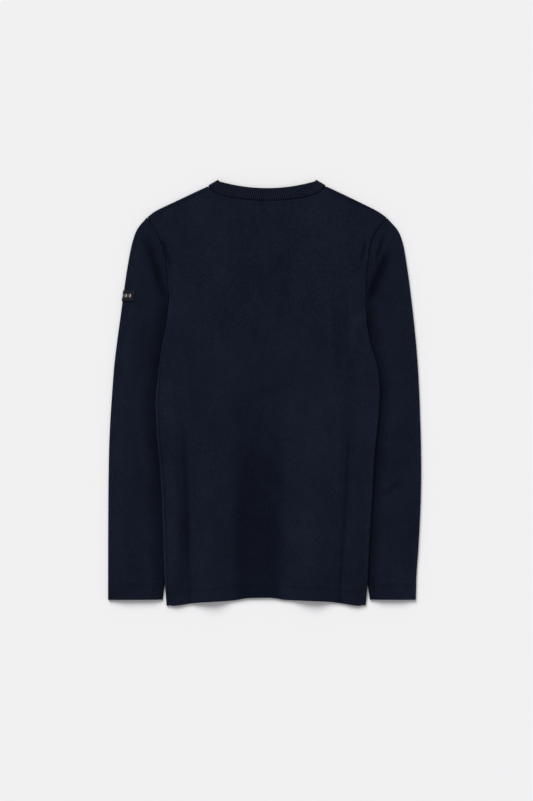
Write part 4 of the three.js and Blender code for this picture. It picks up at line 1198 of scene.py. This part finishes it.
def sew(name, lines, length=STITCH_LENGTH, width=STITCH_WIDTH):
    """One piece of stitches along several lines. Each line is its points and which way is up."""
    bm = bmesh.new()
    for points, ups in lines:
        places, directions = spaced_places(points, length + STITCH_GAP)
        for place, direction in zip(places, directions):
            nearest = np.argmin(np.linalg.norm(points - place, axis=1))
            along = Vector(direction).normalized()
            up = Vector(ups[nearest]).normalized()
            side = up.cross(along).normalized()
            up = along.cross(side)
            turn = Matrix((along, side, up)).transposed().to_4x4()
            size = Matrix.Diagonal((length * MM, width * MM, STITCH_HEIGHT * MM, 1))
            matrix = Matrix.Translation(Vector(place) * MM) @ turn @ size
            bmesh.ops.create_icosphere(bm, subdivisions=1, radius=0.5, matrix=matrix)
    piece = object_from(name, bm)
    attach(piece, "root")
    print(name, "faces:", len(piece.data.polygons))
    return piece


def grid_normals(points):
    """Outward directions of a grid of points that faces up in its upper layer."""
    along_row = np.gradient(points, axis=1)
    along_column = np.gradient(points, axis=0)
    normals = np.cross(along_row, along_column)
    return normals / np.maximum(np.linalg.norm(normals, axis=2, keepdims=True), 1e-9)


def row_at(points, distance):
    """The line across a grid at a distance of cloth above its lower edge."""
    along = cloth_run(points, ALONG_COLUMNS)
    line = np.empty((points.shape[1], 3))
    for column in range(points.shape[1]):
        for axis in range(3):
            line[column, axis] = np.interp(distance, along[:, column], points[:, column, axis])
    row = int(np.argmin(np.abs(along[:, points.shape[1] // 2] - distance)))
    return line, grid_normals(points)[row]


print("one stitch every", STITCH_LENGTH + STITCH_GAP, "mm")

# %% Hem and cuff stitches


def cuff_lines(points):
    """The two rows of stitches of a cuff, over the side that faces up."""
    lines = []
    for height in stitch_rows(CUFF_DEPTH):
        line, ups = (values[UPPER_SIDE] for values in row_at(points, height))
        lines.append((line, ups if ups[len(ups) // 2, 2] > 0 else -ups))
    return lines


hem_stitches = sew("hem_stitches", [row_at(back_points, height) for height in stitch_rows(HEM_DEPTH)])
cuff_stitches = [
    sew("left_cuff_stitches", cuff_lines(left_points)),
    sew("right_cuff_stitches", cuff_lines(right_points)),
]

# %% Armhole and neck stitches
ARMHOLE_ROWS_AT, SEWN_FROM, SEWN_TO, SEWN_STEPS, SUNK_SHARE = (2.6, 5.4), 0.02, 0.93, 80, 0.9
LINK_LENGTH, LINK_WIDTH, LINK_INSET, LINK_RISE = 2.2, 1.1, 0.9, 0.9

armhole_stitches = []
for side, label in ((LEFT, "left"), (RIGHT, "right")):
    line, inward = armhole_line(side, SEWN_STEPS, SEWN_FROM, SEWN_TO)
    deep = line + inward * (BACK_MARGIN + 1)
    ups = np.tile([0.0, 0.0, 1.0], (len(line), 1))
    lines = []
    for distance in ARMHOLE_ROWS_AT:
        sunk = float(seam_relief(np.array(distance))) * SUNK_SHARE
        height = body_top(deep[:, 0], deep[:, 1]) + sunk
        lines.append((np.column_stack([line + inward * distance, height]), ups))
    armhole_stitches.append(sew(f"{label}_armhole_stitches", lines))

neck_height = np.full(len(neck_line), BAND_LEVEL + LINK_RISE)
neck_ups = np.tile([0.0, 0.0, 1.0], (len(neck_line), 1))
link_line = np.column_stack([neck_line - neck_in * LINK_INSET, neck_height])
neck_stitches = sew("neck_linking", [(link_line, neck_ups)], length=LINK_LENGTH, width=LINK_WIDTH)

# %% [markdown]
# ## Floor
# The garment lies on a plain pale surface. It is part of the stage, and not of the garment. A curved
# backdrop would show its bend from some sides. One flat grid does, if it is so wide that its far edge
# stays out of sight when the camera looks down on the garment.

# %% Floor
FLOOR_HALF, FLOOR_COLOUR, FLOOR_ROUGHNESS, FLOOR_SPECULAR = 40.0, (0.885, 0.875, 0.885, 1), 0.9, 0.1

bm = bmesh.new()
bmesh.ops.create_grid(bm, x_segments=2, y_segments=2, size=FLOOR_HALF)
floor = object_from("studio_floor", bm, smooth_faces=False)
floor_paint = bpy.data.materials.new("floor_paint")
floor_paint.use_nodes = True
floor_shader = floor_paint.node_tree.nodes["Principled BSDF"]
floor_shader.inputs["Base Color"].default_value = FLOOR_COLOUR
floor_shader.inputs["Roughness"].default_value = FLOOR_ROUGHNESS
floor_shader.inputs["Specular IOR Level"].default_value = FLOOR_SPECULAR
floor.data.materials.append(floor_paint)
print("floor width in m:", 2 * FLOOR_HALF)

# %% [markdown]
# ## Shared effects
# Jersey, rib and sewing yarn are all the same navy wool. Their nodes could be copied from material to
# material, but then a correction would be made three times. So they share two node groups. The first
# draws the knitting: columns of V-shaped stitches, in metres of cloth. The second gives what milling
# and wear do to wool: cloudy patches, faint streaks along the columns and a fine heather of fibres.

# %% Node helpers


def new_group(name, inputs, outputs):
    """An empty shader node group with named inputs (name, kind, value) and float outputs."""
    group = bpy.data.node_groups.new(name, "ShaderNodeTree")
    for label, kind, value in inputs:
        socket = group.interface.new_socket(label, in_out="INPUT", socket_type=kind)
        if value is not None:
            socket.default_value = value
    for label in outputs:
        group.interface.new_socket(label, in_out="OUTPUT", socket_type="NodeSocketFloat")
    return group, group.nodes.new("NodeGroupInput"), group.nodes.new("NodeGroupOutput")


def feed(tree, socket, value):
    """Links an output to a socket, or sets the socket to a plain value."""
    if isinstance(value, bpy.types.NodeSocket):
        tree.links.new(value, socket)
    else:
        socket.default_value = value


def maths(tree, operation, a, b=None):
    """A Math node with its inputs fed, as its output."""
    node = tree.nodes.new("ShaderNodeMath")
    node.operation = operation
    feed(tree, node.inputs[0], a)
    if b is not None:
        feed(tree, node.inputs[1], b)
    return node.outputs[0]


def vector_maths(tree, operation, a, b):
    """A Vector Math node with its inputs fed, as its output."""
    node = tree.nodes.new("ShaderNodeVectorMath")
    node.operation = operation
    feed(tree, node.inputs[0], a)
    feed(tree, node.inputs[1], b)
    return node.outputs[0]


def noise_value(tree, vector, scale, detail, stretch):
    """Noise of a size, stretched along the axes, as one output from 0 to 1."""
    mapping = tree.nodes.new("ShaderNodeMapping")
    mapping.inputs["Scale"].default_value = stretch
    tree.links.new(vector, mapping.inputs["Vector"])
    node = tree.nodes.new("ShaderNodeTexNoise")
    node.inputs["Scale"].default_value = scale
    node.inputs["Detail"].default_value = detail
    tree.links.new(mapping.outputs["Vector"], node.inputs["Vector"])
    return node.outputs["Fac"]


print("node helpers ready")

# %% Knitting group
LOOP_BASE, LOOP_WAVE = 0.7, 0.3

knit, knit_in, knit_out = new_group(
    "knit_stitches",
    [("Vector", "NodeSocketVector", None), ("Wale", "NodeSocketFloat", 0.0015),
     ("Course", "NodeSocketFloat", 0.0011), ("Slant", "NodeSocketFloat", 0.6)],
    ["Height", "Valley"],
)
split = knit.nodes.new("ShaderNodeSeparateXYZ")
knit.links.new(knit_in.outputs["Vector"], split.inputs[0])
wales = maths(knit, "DIVIDE", split.outputs["X"], knit_in.outputs["Wale"])
in_wale = maths(knit, "FRACT", wales)
off_middle = maths(knit, "ABSOLUTE", maths(knit, "SUBTRACT", in_wale, 0.5))
leg = maths(knit, "MULTIPLY", off_middle, 2.0)
courses = maths(knit, "DIVIDE", split.outputs["Y"], knit_in.outputs["Course"])
slanted = maths(knit, "ADD", courses, maths(knit, "MULTIPLY", leg, knit_in.outputs["Slant"]))
wave = maths(knit, "SINE", maths(knit, "MULTIPLY", slanted, 2 * math.pi))
arch = maths(knit, "SINE", maths(knit, "MULTIPLY", in_wale, math.pi))
loop_height = maths(knit, "ADD", maths(knit, "MULTIPLY", wave, LOOP_WAVE), LOOP_BASE)
knit.links.new(maths(knit, "MULTIPLY", arch, loop_height), knit_out.inputs["Height"])
knit.links.new(maths(knit, "SUBTRACT", 1.0, arch), knit_out.inputs["Valley"])
print("knitting group nodes:", len(knit.nodes))

# %% Milled wool group
BROAD_SHARE, SMALL_SHARE = 0.65, 0.35

milled, milled_in, milled_out = new_group(
    "milled_wool",
    [("Vector", "NodeSocketVector", None)],
    ["Clouds", "Streaks", "Heather"],
)
place = milled_in.outputs["Vector"]
broad = noise_value(milled, place, scale=16.0, detail=3.0, stretch=(1, 0.7, 1))
small = noise_value(milled, place, scale=55.0, detail=2.0, stretch=(1, 0.8, 1))
clouds = maths(milled, "ADD", maths(milled, "MULTIPLY", broad, BROAD_SHARE),
               maths(milled, "MULTIPLY", small, SMALL_SHARE))
streaks = noise_value(milled, place, scale=420.0, detail=1.0, stretch=(1, 0.3, 1))
heather = noise_value(milled, place, scale=760.0, detail=1.5, stretch=(1, 1, 1))
milled.links.new(clouds, milled_out.inputs["Clouds"])
milled.links.new(streaks, milled_out.inputs["Streaks"])
milled.links.new(heather, milled_out.inputs["Heather"])
print("milled wool group nodes:", len(milled.nodes))

# %% [markdown]
# ## Navy wool
# The cloth is nearly black with a blue cast, and matt, with a faint pale nap that shows at glancing
# angles. One flat blue would look like plastic. So its colour runs between a dark and a light navy, by
# the clouds, streaks and heather, with painted shade in the valleys between the stitches. The painted
# shade of each sheet takes more of its red away than of its blue, and below 0 it paints a highlight.
# Jersey, rib and yarn differ only in the size of the knitting, the strength of the relief and, for the
# rib, in how bright it is and how much painted shade its valleys get.

# %% Wool look
DARK_NAVY, LIGHT_NAVY = (0.0033, 0.0051, 0.0111), (0.0094, 0.0131, 0.0266)
WOOL_PARTS = [("Clouds", 0.28), ("Streaks", 0.12), ("Heather", 0.60)]
# A share of painted shade in the valleys between the stitches, and the tones that give the dark and the
# light navy.
VALLEY_SHADE, DARK_TONE, LIGHT_TONE = 0.06, 0.36, 0.60
KNIT_SHARE, FIBRE_SHARE = 0.6, 0.4
WOOL_ROUGHNESS, WOOL_SPECULAR = 0.95, 0.06
WOOL_SHEEN, SHEEN_ROUGHNESS, SHEEN_TINT = 0.04, 0.3, (0.55, 0.65, 1.0, 1)
# How much more painted shade takes from red, green and blue: on jersey and yarn, and on the rib.
WOOL_SHADE_TINT, RIB_SHADE_TINT = (1.1, 1.0, 0.9), (1.02, 1.10, 1.17)


def place_group(tree, group, vector):
    """Puts a shared effect into a material and feeds it the coordinates that it follows."""
    node = tree.nodes.new("ShaderNodeGroup")
    node.node_tree = group
    tree.links.new(vector, node.inputs["Vector"])
    return node


def navy_between(tree, tone, brightness):
    """The dark navy where the tone is low and the light navy where it is high."""
    share = tree.nodes.new("ShaderNodeMapRange")
    share.inputs["From Min"].default_value = DARK_TONE
    share.inputs["From Max"].default_value = LIGHT_TONE
    tree.links.new(tone, share.inputs["Value"])
    blend = tree.nodes.new("ShaderNodeMix")
    blend.data_type = "RGBA"
    tree.links.new(share.outputs["Result"], blend.inputs["Factor"])
    blend.inputs["A"].default_value = (*(channel * brightness for channel in DARK_NAVY), 1)
    blend.inputs["B"].default_value = (*(channel * brightness for channel in LIGHT_NAVY), 1)
    return blend.outputs["Result"]


def kept_under_painted_shade(tree, darkening, tint):
    """How much of each colour is left: 1 on open cloth, less under painted shade, and more under a
    painted highlight.
    """
    painted_shade = tree.nodes.new("ShaderNodeAttribute")
    painted_shade.attribute_name = "painted_shade"
    lost = tree.nodes.new("ShaderNodeVectorMath")
    lost.operation = "SCALE"
    lost.inputs[0].default_value = tint
    tree.links.new(maths(tree, "MULTIPLY", painted_shade.outputs["Fac"], darkening), lost.inputs["Scale"])
    return vector_maths(tree, "SUBTRACT", (1, 1, 1), lost.outputs[0])


print("wool look of", len(WOOL_PARTS), "effects")

# %% Wool materials


def wool_material(name, wale, course, knit_depth, darkening=0.42, brightness=1.0, tint=WOOL_SHADE_TINT):
    """Navy wool. Painted shade darkens it by darkening times tint, and brightness scales the colours."""
    material = bpy.data.materials.new(name)
    material.use_nodes = True
    tree = material.node_tree
    shader = tree.nodes["Principled BSDF"]
    coordinates = tree.nodes.new("ShaderNodeTexCoord")
    cloth_map = tree.nodes.new("ShaderNodeUVMap")
    cloth_map.uv_map = "cloth"
    knitting = place_group(tree, knit, cloth_map.outputs["UV"])
    knitting.inputs["Wale"].default_value = wale
    knitting.inputs["Course"].default_value = course
    wool_look = place_group(tree, milled, coordinates.outputs["Object"])
    tone = 0.0
    for output, weight in WOOL_PARTS:
        tone = maths(tree, "ADD", tone, maths(tree, "MULTIPLY", wool_look.outputs[output], weight))
    # Painted shade in the valleys between the stitches.
    valley_shade = maths(tree, "MULTIPLY", knitting.outputs["Valley"], VALLEY_SHADE)
    navy = navy_between(tree, maths(tree, "SUBTRACT", tone, valley_shade), brightness)
    # What painted shade and painted highlight leave of the colour, read from each sheet's points.
    kept = kept_under_painted_shade(tree, darkening, tint)
    tree.links.new(vector_maths(tree, "MULTIPLY", navy, kept), shader.inputs["Base Color"])
    height = maths(tree, "ADD", maths(tree, "MULTIPLY", knitting.outputs["Height"], KNIT_SHARE),
                   maths(tree, "MULTIPLY", wool_look.outputs["Heather"], FIBRE_SHARE))
    bump = tree.nodes.new("ShaderNodeBump")
    bump.inputs["Strength"].default_value = 1.0
    bump.inputs["Distance"].default_value = knit_depth
    tree.links.new(height, bump.inputs["Height"])
    tree.links.new(bump.outputs["Normal"], shader.inputs["Normal"])
    shader.inputs["Roughness"].default_value = WOOL_ROUGHNESS
    shader.inputs["Specular IOR Level"].default_value = WOOL_SPECULAR
    shader.inputs["Sheen Weight"].default_value = WOOL_SHEEN
    shader.inputs["Sheen Roughness"].default_value = SHEEN_ROUGHNESS
    shader.inputs["Sheen Tint"].default_value = SHEEN_TINT
    return material


jersey = wool_material("navy_jersey", wale=0.0015, course=0.0011, knit_depth=0.00025)
# The rib's colours are 1.8 times brighter, and strong painted shade darkens its valleys.
rib = wool_material("navy_rib", wale=0.0011, course=0.0013, knit_depth=0.0001, darkening=0.85,
                    brightness=1.8, tint=RIB_SHADE_TINT)
yarn = wool_material("sewing_yarn", wale=0.0008, course=0.0008, knit_depth=0.0001)
for piece in (back_panel, front_panel, left_sleeve, right_sleeve, *allowances):
    piece.data.materials.append(jersey)
neck_rib.data.materials.append(rib)
for piece in (hem_stitches, *cuff_stitches, *armhole_stitches, neck_stitches):
    piece.data.materials.append(yarn)
print("wool materials:", jersey.name, rib.name, yarn.name)

# %% [markdown]
# ## Woven label
# Fine charcoal tape with a row of plain upright bars, in the muted colours that such labels have. The
# bars could be pieces of their own, but on a woven label they are threads of the same cloth. So they are
# drawn by the material along the label's own UV map, and bend with it round the fold.

# %% Label bars
BAR_START, BAR_PITCH, BAR_WIDTH, BAR_LOW, BAR_HIGH = 0.0030, 0.0034, 0.0020, 0.0066, 0.0120
BAR_COLOURS = [
    (0.33, 0.35, 0.42), (0.05, 0.10, 0.34), (0.40, 0.38, 0.18), (0.20, 0.045, 0.05), (0.36, 0.38, 0.46),
]

label_cloth = bpy.data.materials.new("woven_charcoal_label")
label_cloth.use_nodes = True
tree = label_cloth.node_tree
label_map = tree.nodes.new("ShaderNodeUVMap")
label_map.uv_map = "cloth"
split = tree.nodes.new("ShaderNodeSeparateXYZ")
tree.links.new(label_map.outputs["UV"], split.inputs[0])
bars = float(len(BAR_COLOURS))
from_start = maths(tree, "DIVIDE", maths(tree, "SUBTRACT", split.outputs["X"], BAR_START), BAR_PITCH)
in_bar = maths(tree, "LESS_THAN", maths(tree, "FRACT", from_start), BAR_WIDTH / BAR_PITCH)
in_row = maths(tree, "MULTIPLY", maths(tree, "GREATER_THAN", from_start, 0.0),
               maths(tree, "LESS_THAN", from_start, bars))
in_height = maths(tree, "MULTIPLY", maths(tree, "GREATER_THAN", split.outputs["Y"], BAR_LOW),
                  maths(tree, "LESS_THAN", split.outputs["Y"], BAR_HIGH))
bar_mask = maths(tree, "MULTIPLY", maths(tree, "MULTIPLY", in_bar, in_row), in_height)
bar_colour = tree.nodes.new("ShaderNodeValToRGB")
bar_colour.color_ramp.interpolation = "CONSTANT"
while len(bar_colour.color_ramp.elements) < len(BAR_COLOURS):
    bar_colour.color_ramp.elements.new(0.5)
for k, colour in enumerate(BAR_COLOURS):
    bar_colour.color_ramp.elements[k].position = k / len(BAR_COLOURS)
    bar_colour.color_ramp.elements[k].color = (*colour, 1)
tree.links.new(maths(tree, "DIVIDE", from_start, bars), bar_colour.inputs["Fac"])
print("label bars:", len(BAR_COLOURS))

# %% Label tape
TAPE_PICKS_PER_METRE, TAPE_RELIEF, TAPE_ROUGHNESS, TAPE_SPECULAR = 1400.0, 0.0001, 0.85, 0.15
TAPE_COLOURS = {
    "Color1": (0.0105, 0.0112, 0.0145, 1), "Color2": (0.0080, 0.0086, 0.0118, 1),
    "Mortar": (0.0060, 0.0070, 0.0105, 1),
}

weave = tree.nodes.new("ShaderNodeTexBrick")
weave.inputs["Scale"].default_value = TAPE_PICKS_PER_METRE
for label, colour in TAPE_COLOURS.items():
    weave.inputs[label].default_value = colour
tree.links.new(label_map.outputs["UV"], weave.inputs["Vector"])
paint = tree.nodes.new("ShaderNodeMix")
paint.data_type = "RGBA"
tree.links.new(bar_mask, paint.inputs["Factor"])
tree.links.new(weave.outputs["Color"], paint.inputs["A"])
tree.links.new(bar_colour.outputs["Color"], paint.inputs["B"])
shader = tree.nodes["Principled BSDF"]
tree.links.new(paint.outputs["Result"], shader.inputs["Base Color"])
tape_bump = tree.nodes.new("ShaderNodeBump")
tape_bump.inputs["Distance"].default_value = TAPE_RELIEF
tree.links.new(maths(tree, "ADD", bar_mask, weave.outputs["Fac"]), tape_bump.inputs["Height"])
tree.links.new(tape_bump.outputs["Normal"], shader.inputs["Normal"])
shader.inputs["Roughness"].default_value = TAPE_ROUGHNESS
shader.inputs["Specular IOR Level"].default_value = TAPE_SPECULAR
arm_label.data.materials.append(label_cloth)
print("label tape material:", label_cloth.name)
